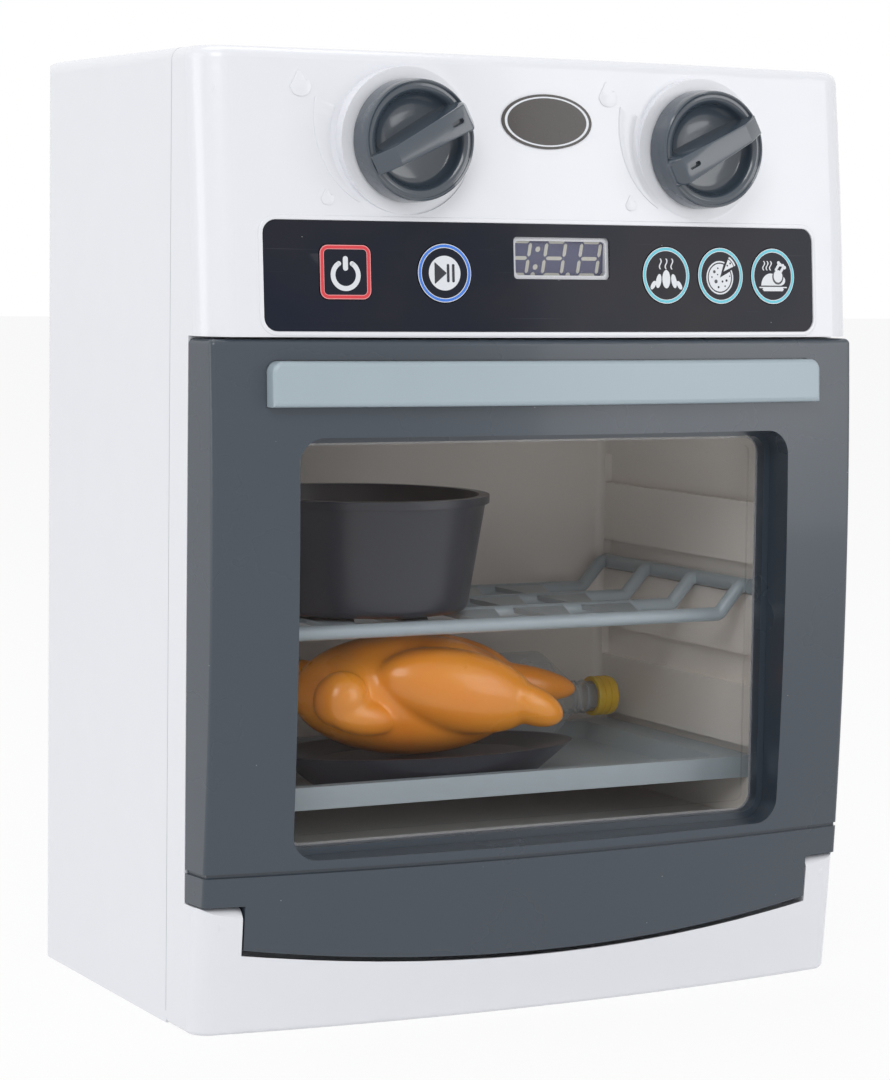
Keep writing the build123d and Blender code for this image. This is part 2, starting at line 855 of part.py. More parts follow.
spring_seat = spring_wire_r + touch_gap
spring_height = battery_end_room - contact_sheet - 2 * spring_seat
with BuildPart() as spring:
    with BuildLine() as coil:
        Helix(spring_height / spring_turns, spring_height, spring_r)
    with BuildSketch(coil.line ^ 0):
        Circle(spring_wire_r)
    sweep(is_frenet=True)

cells, springs, contacts = [], [], []
for i in range(battery_count):
    x = battery_case_x + (i - (battery_count - 1) / 2) * battery_pitch
    up = 1 if i % 2 == 0 else -1
    with BuildPart() as cell:
        with BuildSketch(Plane.XY.offset(battery_case_z - up * battery_length / 2)):
            with Locations((x, battery_y)):
                Circle(battery_r)
        extrude(amount=up * (battery_length - battery_button_h))
        fillet(cell.edges().filter_by(GeomType.CIRCLE), battery_edge_r)
        with BuildSketch(Plane.XY.offset(battery_case_z + up * (battery_length / 2 - battery_button_h))):
            with Locations((x, battery_y)):
                Circle(battery_button_r)
        extrude(amount=up * battery_button_h)
    cells.append(cell.part)
    seat_z = battery_case_z - up * (case_half_z - contact_sheet - spring_seat)
    seat = Plane((x, battery_y, seat_z), z_dir=(0, 0, up))
    springs.append(spring.part.moved(seat.location))
    for end in (-1, 1):
        face_z = battery_case_z + end * case_half_z
        with BuildPart() as contact:
            with BuildSketch(Plane.XY.offset(face_z)):
                with Locations((x, battery_y)):
                    Rectangle(contact_width, contact_depth)
            extrude(amount=-end * contact_sheet)
            if end == up:
                with BuildSketch(Plane.XY.offset(face_z)):
                    with Locations((x, battery_y)):
                        Circle(battery_button_r)
                extrude(amount=-end * (battery_end_room - touch_gap))
        contacts.append(contact.part)
keep(Compound(children=cells), "battery_cells")
keep(Compound(children=springs), "battery_springs")
keep(Compound(children=contacts), "battery_contacts")

with BuildPart() as speaker:
    face = (speaker_x, speaker_seat_y - touch_gap, speaker_z)
    basket_r = speaker_r - speaker_surround
    magnet_step = speaker_depth * speaker_basket_share
    with BuildSketch(Plane(origin=face, x_dir=(1, 0, 0), z_dir=(0, 0, -1))):
        with BuildLine():
            Polyline((0, speaker_cone_sink), (speaker_cone_r, speaker_cone_sink),
                     (basket_r, speaker_surround_sink), (speaker_r - speaker_rim, 0), (speaker_r, 0),
                     (speaker_r, speaker_flange), (basket_r, speaker_flange),
                     (speaker_magnet_r + speaker_flange, magnet_step), (speaker_magnet_r, magnet_step),
                     (speaker_magnet_r, speaker_depth), (0, speaker_depth), close=True)
        make_face()
    revolve(axis=Axis((speaker_x, 0, speaker_z), (0, 1, 0)))
keep(speaker.part, "speaker")
keep(screws(speaker_screws_at, speaker_post_y, speaker_head_r, small_head_h, small_shank_r,
            speaker_flange + wall - skin_left - speaker_screw_spare, 1), "speaker_screws")


# ---------------------------------------------------------------- control panel, keys, display and board

with BuildPart() as control_panel:
    add(skin(panel_outline(), front_space(panel_inset), front_space(panel_inset + panel_thickness)))
    for name in key_places:
        cut(screen(key_outline(name, key_hole_gap), key_band_y, collar_y))
    cut(screen(display_outline(fit_gap), key_band_y, collar_y))
keep(control_panel.part, "control_panel")

with BuildPart() as display_window:
    add(skin(display_outline(), front_space(panel_inset), front_space(panel_inset + panel_thickness)))
keep(display_window.part, "display_window")

flange_space = front_space(wall + key_flange_gap)
flange_back = front_space(wall + key_flange_gap + key_flange_h)
stem_end_y = board_y - switch_height - key_travel - hole_gap
for name, x in key_places.items():
    with BuildPart() as key:
        add(skin(key_outline(name), space_outer, flange_back))
        add(skin(key_outline(name, key_flange), flange_space, flange_back))
        stem_start_y = front_y(x, key_z, wall + key_flange_gap + key_flange_h / 2)
        add(bars([(x, key_z)], key_stem_r, stem_start_y, stem_end_y))
    keep(key.part, name)

module_half_x = display_width / 2 - display_hole_margin + module_margin
module_half_z = display_height / 2 - display_hole_margin + module_margin
with BuildPart() as display_module:
    add(block((display_x - module_half_x, display_x + module_half_x), (display_module_y, board_y),
              (display_z - module_half_z, display_z + module_half_z)))
keep(display_module.part, "display_module")

with BuildPart() as main_board:
    add(block((-board_half, board_half), (board_y, board_y + board_thickness),
              (board_low_z, board_high_z)))
    drill(board_screws_at, small_shank_r + hole_gap, board_y - past, board_y + board_thickness + past)
keep(main_board.part, "main_board")

switches = []
for x in key_places.values():
    with BuildPart() as switch:
        with Locations((x, board_y - (switch_height - plunger_h) / 2, key_z)):
            Box(switch_side, switch_height - plunger_h, switch_side)
        add(bars([(x, key_z)], plunger_r, board_y - switch_height, board_y - switch_height / 2))
    switches.append(switch.part)
keep(Compound(children=switches), "key_switches")
keep(screws(board_screws_at, board_y + board_thickness, small_head_r, small_head_h, small_shank_r,
            small_screw_length, -1), "board_screws")

with BuildSketch() as badge_outline:
    with Locations((badge_x, badge_z)):
        Ellipse(badge_width / 2, badge_height / 2)
keep(skin(badge_outline.sketch, front_space(-badge_thickness), front_space(-badge_lift)), "badge")


# ---------------------------------------------------------------- knobs

shaft_end_y = click_wheel_y + click_wheel_h + fit_gap


def knob(x, mark_side):
    """Knob with a dished face, a slanting grip bar and a short mark near one end of the bar."""
    base = Plane(origin=(x, knob_base_y, knob_z), x_dir=(1, 0, 0), z_dir=(0, 0, -1))
    lip_r, floor_r = knob_rim_r - knob_lip, knob_dish_r - knob_lip
    with BuildPart() as piece:
        with BuildSketch(base):
            with BuildLine():
                Polyline((0, 0), (knob_base_r, 0), (knob_rim_r, knob_height), (lip_r, knob_height))
                RadiusArc((lip_r, knob_height), (floor_r, knob_dish_floor), -knob_dish_arc_r)
                Polyline((floor_r, knob_dish_floor), (0, knob_dish_floor), (0, 0))
            make_face()
        revolve(axis=Axis((x, knob_base_y, knob_z), (0, -1, 0)))
        fillet(piece.edges().filter_by(GeomType.CIRCLE).filter_by(lambda e: e.radius > knob_dish_r)
               .filter_by(lambda e: abs(e.center().Y - knob_rim_y) < near), knob_edge_r)
        with BuildSketch(front_plane(knob_base_y - knob_dish_floor / 2)):
            with Locations((x, knob_z)):
                Circle(grip_half)
                Rectangle(2 * grip_half, grip_width, rotation=grip_angle, mode=Mode.INTERSECT)
        extrude(amount=knob_height + grip_rise - knob_dish_floor / 2)
        crest = piece.faces().sort_by(Axis.Y)[0]
        fillet(crest.edges(), grip_edge_r)
        mark_x = x + mark_side * grip_mark_r * cos(radians(grip_angle))
        mark_z = knob_z + mark_side * grip_mark_r * sin(radians(grip_angle))
        with BuildSketch(front_plane(grip_front_y)):
            with Locations((mark_x, mark_z)):
                SlotOverall(grip_mark_length, grip_mark_width, rotation=grip_angle)
        extrude(amount=-grip_mark_depth, mode=Mode.SUBTRACT)
        with BuildSketch(front_plane(shaft_end_y)):
            with Locations((x, knob_z)):
                Circle(shaft_r)
        extrude(amount=shaft_end_y - knob_base_y + root)
        # flat on the inner end of the shaft, for the click wheel, and the screw hole
        with BuildSketch(front_plane(shaft_end_y)):
            with Locations((x, knob_z + 2 * shaft_r - shaft_flat)):
                Rectangle(2 * shaft_r, 2 * shaft_r)
        extrude(amount=shaft_end_y - click_wheel_y, mode=Mode.SUBTRACT)
        drill([(x, knob_z)], small_shank_r + hole_gap, shaft_end_y - shaft_screw_length - past,
              shaft_end_y + past)
    return piece.part


def click_wheel(x):
    """Toothed disc on the inner end of a knob's shaft."""
    with BuildPart() as piece:
        with BuildSketch(front_plane(click_wheel_y + click_wheel_h)):
            with Locations((x, knob_z)):
                Circle(click_wheel_r)
                with PolarLocations(click_wheel_r + tooth_depth * tooth_ring, click_teeth):
                    Circle(tooth_r, mode=Mode.SUBTRACT)
            with Locations((x, knob_z)):
                Circle(shaft_r + shaft_running_gap, mode=Mode.SUBTRACT)
            with Locations((x, knob_z + 2 * shaft_r + shaft_running_gap - shaft_flat)):
                Rectangle(2 * shaft_r, 2 * shaft_r)
            with Locations((x, knob_z)):
                Circle(click_wheel_r, mode=Mode.INTERSECT)
        extrude(amount=click_wheel_h)
    return piece.part


def click_spring(x):
    """Flat leaf carried by its post, lying over the click wheel's teeth."""
    low = knob_z + click_wheel_r + click_spring_gap
    post = x + spring_post_x
    with BuildPart() as piece:
        add(block((x - click_wheel_r, post + spring_post_side), (click_wheel_y, spring_post_y),
                  (low, low + click_leaf)))
    return piece.part


for side, hand in ((-1, "left"), (1, "right")):
    centre = side * knob_x
    keep(knob(centre, -side), hand + "_knob")
    keep(click_wheel(centre), hand + "_click_wheel")
    keep(click_spring(centre), hand + "_click_spring")
    keep(screws([(centre, knob_z)], shaft_end_y, knob_screw_head_r, small_head_h, small_shank_r,
                shaft_screw_length, -1), hand + "_knob_screw")


# ---------------------------------------------------------------- door

def door_plan(inset=0.0):
    """Door seen from above: its ends lean in towards the front."""
    back, front = door_back_y, front_limit
    lean = (door_back_y - front) * door_draft
    side = half_width - inset
    with BuildSketch() as outline:
        with BuildLine():
            Polyline((-side, back), (side, back), (side - lean, front), (-side + lean, front), close=True)
        make_face()
    return outline.sketch


def door_space(inset=0.0):
    """Everything inside the door's leaning ends and its front surface."""
    with BuildPart() as piece:
        with BuildSketch(Plane.XY):
            add(door_plan(inset))
        extrude(amount=body_height)
        add(front_space(inset), mode=Mode.INTERSECT)
    return piece.part


def window_outline(grow=0.0):
    with BuildSketch() as outline:
        with Locations((0, window_z)):
            RectangleRounded(window_width + 2 * grow, window_height + 2 * grow, window_corner_r + grow)
    return outline.sketch


def handle_outline(grow=0.0):
    """Handle in X and Z: large upper corners and small lower ones."""
    with BuildSketch() as outline:
        with Locations((0, handle_low_z + handle_height / 2)):
            Rectangle(2 * (handle_half + grow), handle_height + 2 * grow)
        corners = outline.vertices().group_by(Axis.Y)
        fillet(corners[-1], handle_top_r + grow)
        fillet(corners[0], handle_bottom_r + grow)
    return outline.sketch


door_posts_at = [(side * door_post_x, z) for side in (-1, 1) for z in door_post_z]
handle_mid_z = handle_low_z + handle_height / 2
handle_screws_at = [(-handle_screw_x, handle_mid_z), (handle_screw_x, handle_mid_z)]
liner_back_y = door_back_y - liner_plate
tongue_back_y = hinge_y + tongue_depth
door_head_y = door_back_y - door_screw_head_h - hole_gap

with BuildPart() as door_shell:
    add(block((-half_width, half_width), (front_limit, door_back_y), (shoulder_z, door_top)))
    add(door_space(), mode=Mode.INTERSECT)
    rims = door_shell.faces().sort_by(Axis.Z)[-1].edges()
    least_height = door_top - shoulder_z - overrun
    rims += door_shell.edges().filter_by(lambda e: e.bounding_box().size.Z > least_height)
    fillet(rims.filter_by(lambda e: e.center().Y < door_back_y - past), door_edge_r)
    add(screen(tongue_outline(), front_limit, tongue_back_y) & space_outer)
    # hollow of the upper part and of the tongue
    upper = block((-half_width, half_width), (front_limit, door_back_y + past),
                  (shoulder_z + door_wall, door_top - door_wall))
    cut(upper & door_space(door_wall))
    hollow_top = shoulder_z + 2 * door_wall
    lower = screen(tongue_outline(-door_wall, hollow_top), front_limit, door_back_y)
    inner = block((-tongue_solid_x, tongue_solid_x), (front_limit, door_back_y), (0, hollow_top))
    cut(lower & inner & front_space(door_wall))
    # frame of the window, posts and handle seat
    add(screen(window_outline(door_wall), front_limit, window_step_y) & front_space(door_wall / 2))
    cut(screen(window_outline(), front_limit, door_back_y))
    for x, z in door_posts_at:
        add(bars([(x, z)], board_post_r, front_y(x, z, door_wall) - root, liner_back_y - liner_seat_gap))
    drill(door_posts_at, small_shank_r + hole_gap, liner_back_y - door_screw_depth - past, door_back_y)
    cut(skin(handle_outline(handle_gap), space_outer, front_space(handle_foot)))
    drill(handle_screws_at, small_shank_r + hole_gap, front_limit, door_back_y)
    # seam groove round the front and the ends
    ring = block((-half_width - past, half_width + past), (front_limit, door_back_y + past),
                 (groove_z, groove_z + groove_height))
    cut(ring - door_space(groove_depth))
    # pin holes
    with BuildSketch(Plane.YZ.offset(-tongue_half - past)):
        with Locations((hinge_y, hinge_z)):
            Circle(pin_r + pin_fit)
    extrude(amount=2 * tongue_half + 2, mode=Mode.SUBTRACT)
keep(door_shell.part, "door_shell")

for side, hand in ((-1, "left"), (1, "right")):
    with BuildPart() as pin:
        with BuildSketch(Plane.YZ.offset(side * pin_inner_x)):
            with Locations((hinge_y, hinge_z)):
                Circle(pin_r)
        extrude(amount=side * (pin_outer_x - pin_inner_x))
        chamfer(pin.edges().filter_by(GeomType.CIRCLE), pin_chamfer)
    keep(pin.part, "hinge_pin_" + hand)

pane_hole = -step_inset
with BuildPart() as door_liner:
    plate = block((-half_width, half_width), (liner_back_y, door_back_y),
                  (shoulder_z + door_wall + fit_gap, door_top - door_wall - fit_gap))
    add(plate & door_space(door_wall + fit_gap))
    add(screen(window_outline(pane_hole + pane_flange + door_wall), pane_front_y - liner_plate,
               door_back_y))
    add(screen(window_outline(door_wall), door_liner_front_y, pane_front_y - liner_plate / 2))
    cut(screen(window_outline(pane_hole), front_limit, door_back_y + past))
    cut(screen(window_outline(pane_hole + pane_flange), pane_front_y - fit_gap, door_back_y + past))
    drill(door_posts_at, small_shank_r + hole_gap, front_limit, door_back_y + past)
    drill(door_posts_at, small_head_r + hole_gap, door_head_y, door_back_y + past)
    drill(pane_clips_at, small_shank_r + hole_gap, pane_back_y - pane_clip_length - 3 * hole_gap,
          door_back_y + past)
    drill(pane_clips_at, pane_clip_r + hole_gap, pane_back_y, door_back_y + past)
    slot_half, slot_rise = striker_half + hole_gap, striker_height / 2 + hole_gap
    cut(block((-slot_half, slot_half), (liner_back_y - past, door_back_y + past),
              (catch_z - slot_rise, catch_z + slot_rise)))
keep(door_liner.part, "door_liner")

with BuildPart() as window_pane:
    add(screen(window_outline(pane_hole + pane_flange - fit_gap), pane_front_y, pane_back_y))
    add(screen(window_outline(pane_hole - pane_panel_inset), pane_front_y - pane_panel_rise, pane_back_y))
keep(window_pane.part, "window_pane")
keep(screws(pane_clips_at, pane_back_y, pane_clip_r, small_head_h, small_shank_r, pane_clip_length, -1),
     "pane_screws")
keep(screws(door_posts_at, door_head_y, small_head_r, door_screw_head_h, small_shank_r,
            door_screw_depth + door_head_y - liner_back_y, -1), "door_screws")

with BuildPart() as door_striker:
    tip_y = door_back_y + striker_reach
    add(block((-striker_half, striker_half), (liner_back_y, tip_y),
              (catch_z - striker_height / 2, catch_z + striker_height / 2)))
    chamfer(door_striker.edges().filter_by(Axis.X).group_by(Axis.Y)[-1], striker_chamfer)
    foot_half, foot_rise = striker_half + striker_foot_side, striker_height / 2 + striker_foot_rise
    add(block((-foot_half, foot_half), (liner_back_y - striker_foot_sheet, liner_back_y),
              (catch_z - foot_rise, catch_z + foot_rise)))
keep(door_striker.part, "door_striker")

catch_low_y = collar_y + wall + touch_gap
with BuildPart() as door_catch:
    half_z = striker_height / 2 + catch_play
    add(block((-striker_half, striker_half), (catch_low_y, catch_low_y + catch_depth),
              (catch_z - half_z - catch_leaf, catch_z + half_z + catch_leaf)))
    cut(block((-striker_half - past, striker_half + past),
              (catch_low_y - past, catch_low_y + catch_depth - catch_leaf),
              (catch_z - half_z, catch_z + half_z)))
    for side in (-1, 1):
        edge = catch_z + side * (half_z + catch_leaf)
        with Locations((0, catch_low_y + catch_leaf / 2, edge + side * catch_foot / 2)):
            Box(2 * striker_half, catch_leaf, catch_foot)
keep(door_catch.part, "door_catch")

with BuildPart() as door_handle:
    add(skin(handle_outline(), front_space(-handle_stand), front_space(handle_foot - fit_gap)))
    face_edges = door_handle.faces().sort_by(lambda f: f.center().Y)[0].edges()
    fillet(face_edges, handle_edge_r)
    for x, z in handle_screws_at:
        hole_end_y = front_y(x, z, handle_foot) - handle_screw_bite - root
        drill([(x, z)], small_shank_r + hole_gap, hole_end_y, door_back_y)
keep(door_handle.part, "door_handle")
handle_screw_seat_y = front_y(handle_screw_x, handle_mid_z, door_wall) + door_screw_head_h / 2
keep(screws(handle_screws_at, handle_screw_seat_y, small_head_r, small_head_h, small_shank_r,
            handle_screw_bite + door_wall - handle_foot, -1), "handle_screws")


# ---------------------------------------------------------------- oven liner, rack and tray

with BuildPart() as oven_liner:
    add(block((-liner_half, liner_half), (liner_front_y, cavity_back + liner_wall),
              (cavity_floor - liner_wall, cavity_ceiling + liner_wall)))
    flange_half, flange_rise = liner_half + liner_side_flange, liner_wall + liner_end_flange
    add(block((-flange_half, flange_half), (liner_front_y, liner_front_y + liner_wall),
              (cavity_floor - flange_rise, cavity_ceiling + flange_rise)))
    cut(block((-cavity_half, cavity_half), (liner_front_y - past, cavity_back),
              (cavity_floor, cavity_ceiling)))
    back_edges = oven_liner.edges().filter_by(lambda e: abs(e.center().Y - cavity_back) < near)
    fillet(back_edges, cavity_corner_r)
    for z in guide_floors:
        cut(block((-guide_half, guide_half), (liner_front_y - past, guide_back), (z, z + guide_height)))
    drill(liner_screws_at, liner_boss_r + fit_gap, liner_front_y - past, liner_front_y + liner_wall + past)
keep(oven_liner.part, "oven_liner")
keep(screws(liner_screws_at, liner_boss_y, liner_head_r, small_head_h, small_shank_r,
            liner_boss_y - collar_y - skin_left - 0.3, -1), "liner_screws")

rack_rows = [rack_front_y + i * rack_pitch for i in range(rack_bars)]


def cross_bar(y):
    """Round bar across the rack, cranked up at both ends to meet the side rails."""
    with BuildPart() as bar:
        with BuildLine(Plane.XZ.offset(-y)) as route:
            FilletPolyline((-rack_rail_x, rack_rail_z), (-rack_shoulder_x, rack_rail_z),
                           (-rack_foot_x, rack_bar_z), (rack_foot_x, rack_bar_z),
                           (rack_shoulder_x, rack_rail_z), (rack_rail_x, rack_rail_z), radius=rack_bend_r)
        with BuildSketch(Plane.YZ.offset(-rack_rail_x)):
            with Locations((y, rack_rail_z)):
                Circle(rack_bar_r)
        sweep(path=route.wire())
    return bar.part


with BuildPart() as wire_rack:
    for y in rack_rows:
        add(cross_bar(y))
    rails_at = [(-rack_rail_x, rack_rail_z), (rack_rail_x, rack_rail_z)]
    add(bars(rails_at, rack_rail_r, rack_rows[0] - rack_rail_r, rack_rows[-1] + rack_rail_r))
    # a row of tapered plates between each two bars
    for front, rear in zip(rack_rows, rack_rows[1:]):
        with BuildSketch(Plane.XY.offset(rack_bar_z)):
            for i in range(rack_plate_count):
                x = rack_plate_x + i * rack_plate_pitch
                with BuildLine():
                    Polyline((x, front), (x + rack_plate_front, front),
                             (x + rack_plate_rear, rear), (x, rear), close=True)
                make_face()
        extrude(amount=rack_plate_thickness)
keep(wire_rack.part, "wire_rack")

with BuildPart() as baking_tray:
    add(block((-tray_half, tray_half), (tray_front_y, tray_back_y), (tray_low_z, tray_top_z)))
    fillet(baking_tray.edges().filter_by(Axis.Z), tray_corner_r)
    # basin, wider at the top than at the floor
    middle_y = (tray_front_y + tray_back_y) / 2
    basin_x = tray_half - tray_rim
    basin_y = (tray_back_y - tray_front_y) / 2 - tray_front_rim
    for z, shrink in ((tray_top_z, 0), (tray_floor_z, tray_slope)):
        with BuildSketch(Plane.XY.offset(z)):
            with Locations((0, middle_y)):
                RectangleRounded(2 * (basin_x - shrink), 2 * (basin_y - shrink), 2 * tray_corner_r)
    loft(mode=Mode.SUBTRACT)
    # hollow under each side rim
    for side in (-1, 1):
        outer_x = side * (tray_half - tray_sheet)
        inner_x = side * (basin_x + tray_sheet)
        cut(block(sorted((inner_x, outer_x)), (tray_front_y + tray_sheet, tray_back_y - tray_sheet),
                  (tray_low_z - past, tray_top_z - tray_sheet)))
keep(baking_tray.part, "baking_tray")


# ---------------------------------------------------------------- play food and dishes

pot_low_z = rack_bar_z + rack_bar_r + rest_gap
with BuildPart() as play_pot:
    with BuildSketch(Plane(origin=(pot_x, pot_y, pot_low_z), x_dir=(1, 0, 0), z_dir=(0, -1, 0))):
        with BuildLine():
            Polyline((0, 0), (pot_base_r, 0), (pot_top_r - pot_rim / 2, pot_height - pot_rim),
                     (pot_top_r, pot_height - pot_rim), (pot_top_r, pot_height),
                     (pot_top_r - pot_rim / 2 - pot_wall, pot_height), (pot_base_r - pot_wall, pot_wall),
                     (0, pot_wall), close=True)
        make_face()
    revolve(axis=Axis((pot_x, pot_y, 0), (0, 0, 1)))
    fillet(play_pot.faces().sort_by(Axis.Z)[0].edges(), pot_rim)
keep(play_pot.part, "play_pot")

platter_low_z = tray_floor_z + rest_gap
with BuildPart() as platter:
    for z, share in ((platter_low_z, platter_foot_share), (platter_low_z + platter_height, 1)):
        with BuildSketch(Plane.XY.offset(z)):
            with Locations((platter_x, platter_y)):
                Ellipse(platter_half * share, platter_depth_half * share)
    loft()
    platter_top_z = platter_low_z + platter_height
    for z, share in ((platter_top_z - platter_dish, platter_foot_share), (platter_top_z, 1)):
        with BuildSketch(Plane.XY.offset(z)):
            with Locations((platter_x, platter_y)):
                Ellipse(platter_half * share - platter_sheet, platter_depth_half * share - platter_sheet)
    loft(mode=Mode.SUBTRACT)
keep(platter.part, "platter")

chicken_low_z = platter_low_z + platter_height - platter_dish + rest_gap
chicken_mid_z = chicken_low_z + chicken_height / 2


def lump(at, half):
    """Egg-like lump with its middle and half sizes given along X, Y and Z."""
    x, y, z = at
    half_x, half_y, half_z = half
    with BuildPart() as egg:
        for share in lump_stations:
            swell = sqrt(1 - share**2)
            with BuildSketch(Plane.YZ.offset(x + share * half_x)):
                with Locations((y, z)):
                    Ellipse(swell * half_y, swell * half_z)
        loft()
    return egg.part


def drumstick(side, root_x, tip_x, reach, fall):
    """One leg, tapering from the thigh to its round end."""
    y = platter_y + side * reach
    with BuildPart() as leg:
        for x, z, radius in ((root_x, chicken_mid_z, leg_root_r), (tip_x, chicken_mid_z - fall, leg_r)):
            with BuildSketch(Plane.YZ.offset(x)):
                with Locations((y, z)):
                    Circle(radius)
        loft()
        fillet(leg.faces().sort_by(Axis.X)[-1].edges(), leg_end_r)
    return leg.part


with BuildPart() as play_chicken:
    add(lump((chicken_x, platter_y, chicken_mid_z),
             (chicken_length / 2, chicken_width / 2, chicken_height / 2)))
    for side in (-1, 1):
        for (x, reach, rise), half in ((thigh_at, thigh_half), (wing_at, wing_half)):
            add(lump((x, platter_y + side * reach, chicken_mid_z + rise), half))
    for side, root_x, tip_x, reach, fall in zip((-1, 1), leg_roots, leg_tips, leg_y, leg_fall):
        add(drumstick(side, root_x, tip_x, reach, fall))
keep(play_chicken.part, "play_chicken")

bottle_z = tray_floor_z + rest_gap + bottle_r
neck_end_x = bottle_low_x + bottle_body + bottle_shoulder + bottle_neck
with BuildPart() as sauce_bottle:
    with BuildSketch(Plane(origin=(bottle_low_x, bottle_y, bottle_z), x_dir=(1, 0, 0), z_dir=(0, -1, 0))):
        with BuildLine():
            neck_end = neck_end_x - bottle_low_x
            Polyline((0, 0), (0, bottle_r), (bottle_body, bottle_r),
                     (bottle_body + bottle_shoulder, bottle_neck_r), (neck_end, bottle_neck_r),
                     (neck_end, 0), close=True)
        make_face()
    revolve(axis=Axis((bottle_low_x, bottle_y, bottle_z), (1, 0, 0)))
    fillet(sauce_bottle.edges().filter_by(GeomType.CIRCLE).sort_by(Axis.X)[:2], bottle_edge_r)
keep(sauce_bottle.part, "sauce_bottle")

with BuildPart() as bottle_cap:
    cap_start_x = neck_end_x - bottle_cap_length + cap_top
    with BuildSketch(Plane.YZ.offset(cap_start_x)):
        with Locations((bottle_y, bottle_z)):
            Circle(bottle_cap_r)
    extrude(amount=bottle_cap_length)
    chamfer(bottle_cap.faces().sort_by(Axis.X)[-1].edges(), 0.6)
    with BuildSketch(Plane.YZ.offset(cap_start_x - past)):
        with Locations((bottle_y, bottle_z)):
            Circle(bottle_neck_r + hole_gap)
    extrude(amount=neck_end_x - cap_start_x + 1 + hole_gap, mode=Mode.SUBTRACT)
keep(bottle_cap.part, "bottle_cap")

os.makedirs("parts", exist_ok=True)
for part in finished:
    export_step(part, f"parts/{part.label}.step")
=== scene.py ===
import json
from math import cos, pi, radians, sin, sqrt, tan

import bmesh
import bpy
from mathutils import Matrix, Vector


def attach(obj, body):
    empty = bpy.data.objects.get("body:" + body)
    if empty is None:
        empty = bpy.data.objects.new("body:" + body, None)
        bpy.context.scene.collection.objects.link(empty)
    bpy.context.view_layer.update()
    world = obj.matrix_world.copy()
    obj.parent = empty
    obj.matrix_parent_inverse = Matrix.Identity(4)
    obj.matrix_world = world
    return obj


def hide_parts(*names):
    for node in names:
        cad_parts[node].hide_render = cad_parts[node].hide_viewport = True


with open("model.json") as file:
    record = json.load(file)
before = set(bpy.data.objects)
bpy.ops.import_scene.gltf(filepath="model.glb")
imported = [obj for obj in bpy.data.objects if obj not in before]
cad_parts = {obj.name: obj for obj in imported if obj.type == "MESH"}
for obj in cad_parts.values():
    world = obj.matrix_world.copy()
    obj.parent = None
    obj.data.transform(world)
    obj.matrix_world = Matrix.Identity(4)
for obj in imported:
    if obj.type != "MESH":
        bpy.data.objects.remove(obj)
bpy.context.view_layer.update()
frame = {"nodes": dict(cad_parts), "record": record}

# The toy oven dressed for its render. Pieces are modelled in millimetres, in the frame of the CAD model:
# X to the right, front towards -Y, Z up, and the origin on the floor under the middle of the casing.

MM = 0.001

# ---------------------------------------------------------------- camera, floor and light

# The long side and the focal length are in pixels, the place in millimetres and the turns in degrees.
IMAGE_LONG_SIDE = 1080
FOCAL_PIXELS = 3202.84
SENSOR_MM = 36.0
CAMERA_PLACE = (-498.23, -940.50, 240.38)
CAMERA_YAW = 27.877
CAMERA_PITCH = 5.199
CAMERA_ROLL = 0.8056
# Each lamp has its place and size in metres, and its power in watts.
LAMPS = {
    "key_softbox": ((-1.1, -1.6, 1.5), (1.2, 1.2), 15.8),
    "fill_softbox": ((1.3, -1.5, 0.6), (1.0, 1.4), 8.5),
    "side_softbox": ((-1.9, 0.3, 0.7), (1.0, 1.4), 7),
    "top_softbox": ((0.0, 0.2, 1.9), (1.4, 1.0), 8),
}
LAMP_AIM = (0, 0, 0.15)
WHITE = (1, 1, 1, 1)
SKY_COLOR = (0.97, 0.985, 1.0, 1)
SKY_LIGHT = 0.45
FLOOR_COLOR = (0.93, 0.93, 0.93, 1)
FLOOR_HALF = 9.0
FLOOR_GLOW = 0.90


def link_object(name, data):
    made = bpy.data.objects.new(name, data)
    bpy.context.scene.collection.objects.link(made)
    return made


def link_mesh(name, bm):
    """An object with the mesh that was built, whose builder is then freed."""
    mesh = bpy.data.meshes.new(name)
    bm.to_mesh(mesh)
    bm.free()
    return link_object(name, mesh)


def make_camera():
    """Camera at its place, turned by yaw, pitch and roll away from a level look along +Y."""
    data = bpy.data.cameras.new("camera")
    data.sensor_width = SENSOR_MM
    data.lens = FOCAL_PIXELS * SENSOR_MM / IMAGE_LONG_SIDE
    camera = link_object("camera", data)
    turn = (Matrix.Rotation(radians(-CAMERA_YAW), 4, "Z")
            @ Matrix.Rotation(radians(90 - CAMERA_PITCH), 4, "X")
            @ Matrix.Rotation(radians(CAMERA_ROLL), 4, "Z"))
    camera.matrix_world = Matrix.Translation(Vector(CAMERA_PLACE) * MM) @ turn
    bpy.context.scene.camera = camera


def make_lamps():
    """Four soft lamps that face the middle of the oven."""
    for name, (place, size, power) in LAMPS.items():
        data = bpy.data.lights.new(name, "AREA")
        data.shape = "RECTANGLE"
        data.size, data.size_y = size
        data.energy = power
        lamp = link_object(name, data)
        lamp.location = place
        lamp.rotation_euler = (Vector(LAMP_AIM) - Vector(place)).to_track_quat("-Z", "Y").to_euler()


def put(tree, value, socket):
    """Feeds a socket with another node's output, or with a constant."""
    if isinstance(value, bpy.types.NodeSocket):
        tree.links.new(value, socket)
    else:
        socket.default_value = value


def set_inputs(tree, node, **inputs):
    """Feeds a node's inputs, each by its name with underscores for the spaces."""
    for key, value in inputs.items():
        put(tree, value, node.inputs[key.replace("_", " ")])
    return node


def add_node(tree, kind, **inputs):
    return set_inputs(tree, tree.nodes.new(kind), **inputs)


def add_math(tree, operation, *values):
    step = tree.nodes.new("ShaderNodeMath")
    step.operation = operation
    for value, socket in zip(values, step.inputs):
        put(tree, value, socket)
    return step.outputs[0]


def empty_tree(owner):
    """The node tree of a world or a material, cleared of nodes."""
    owner.use_nodes = True
    owner.node_tree.nodes.clear()
    return owner.node_tree


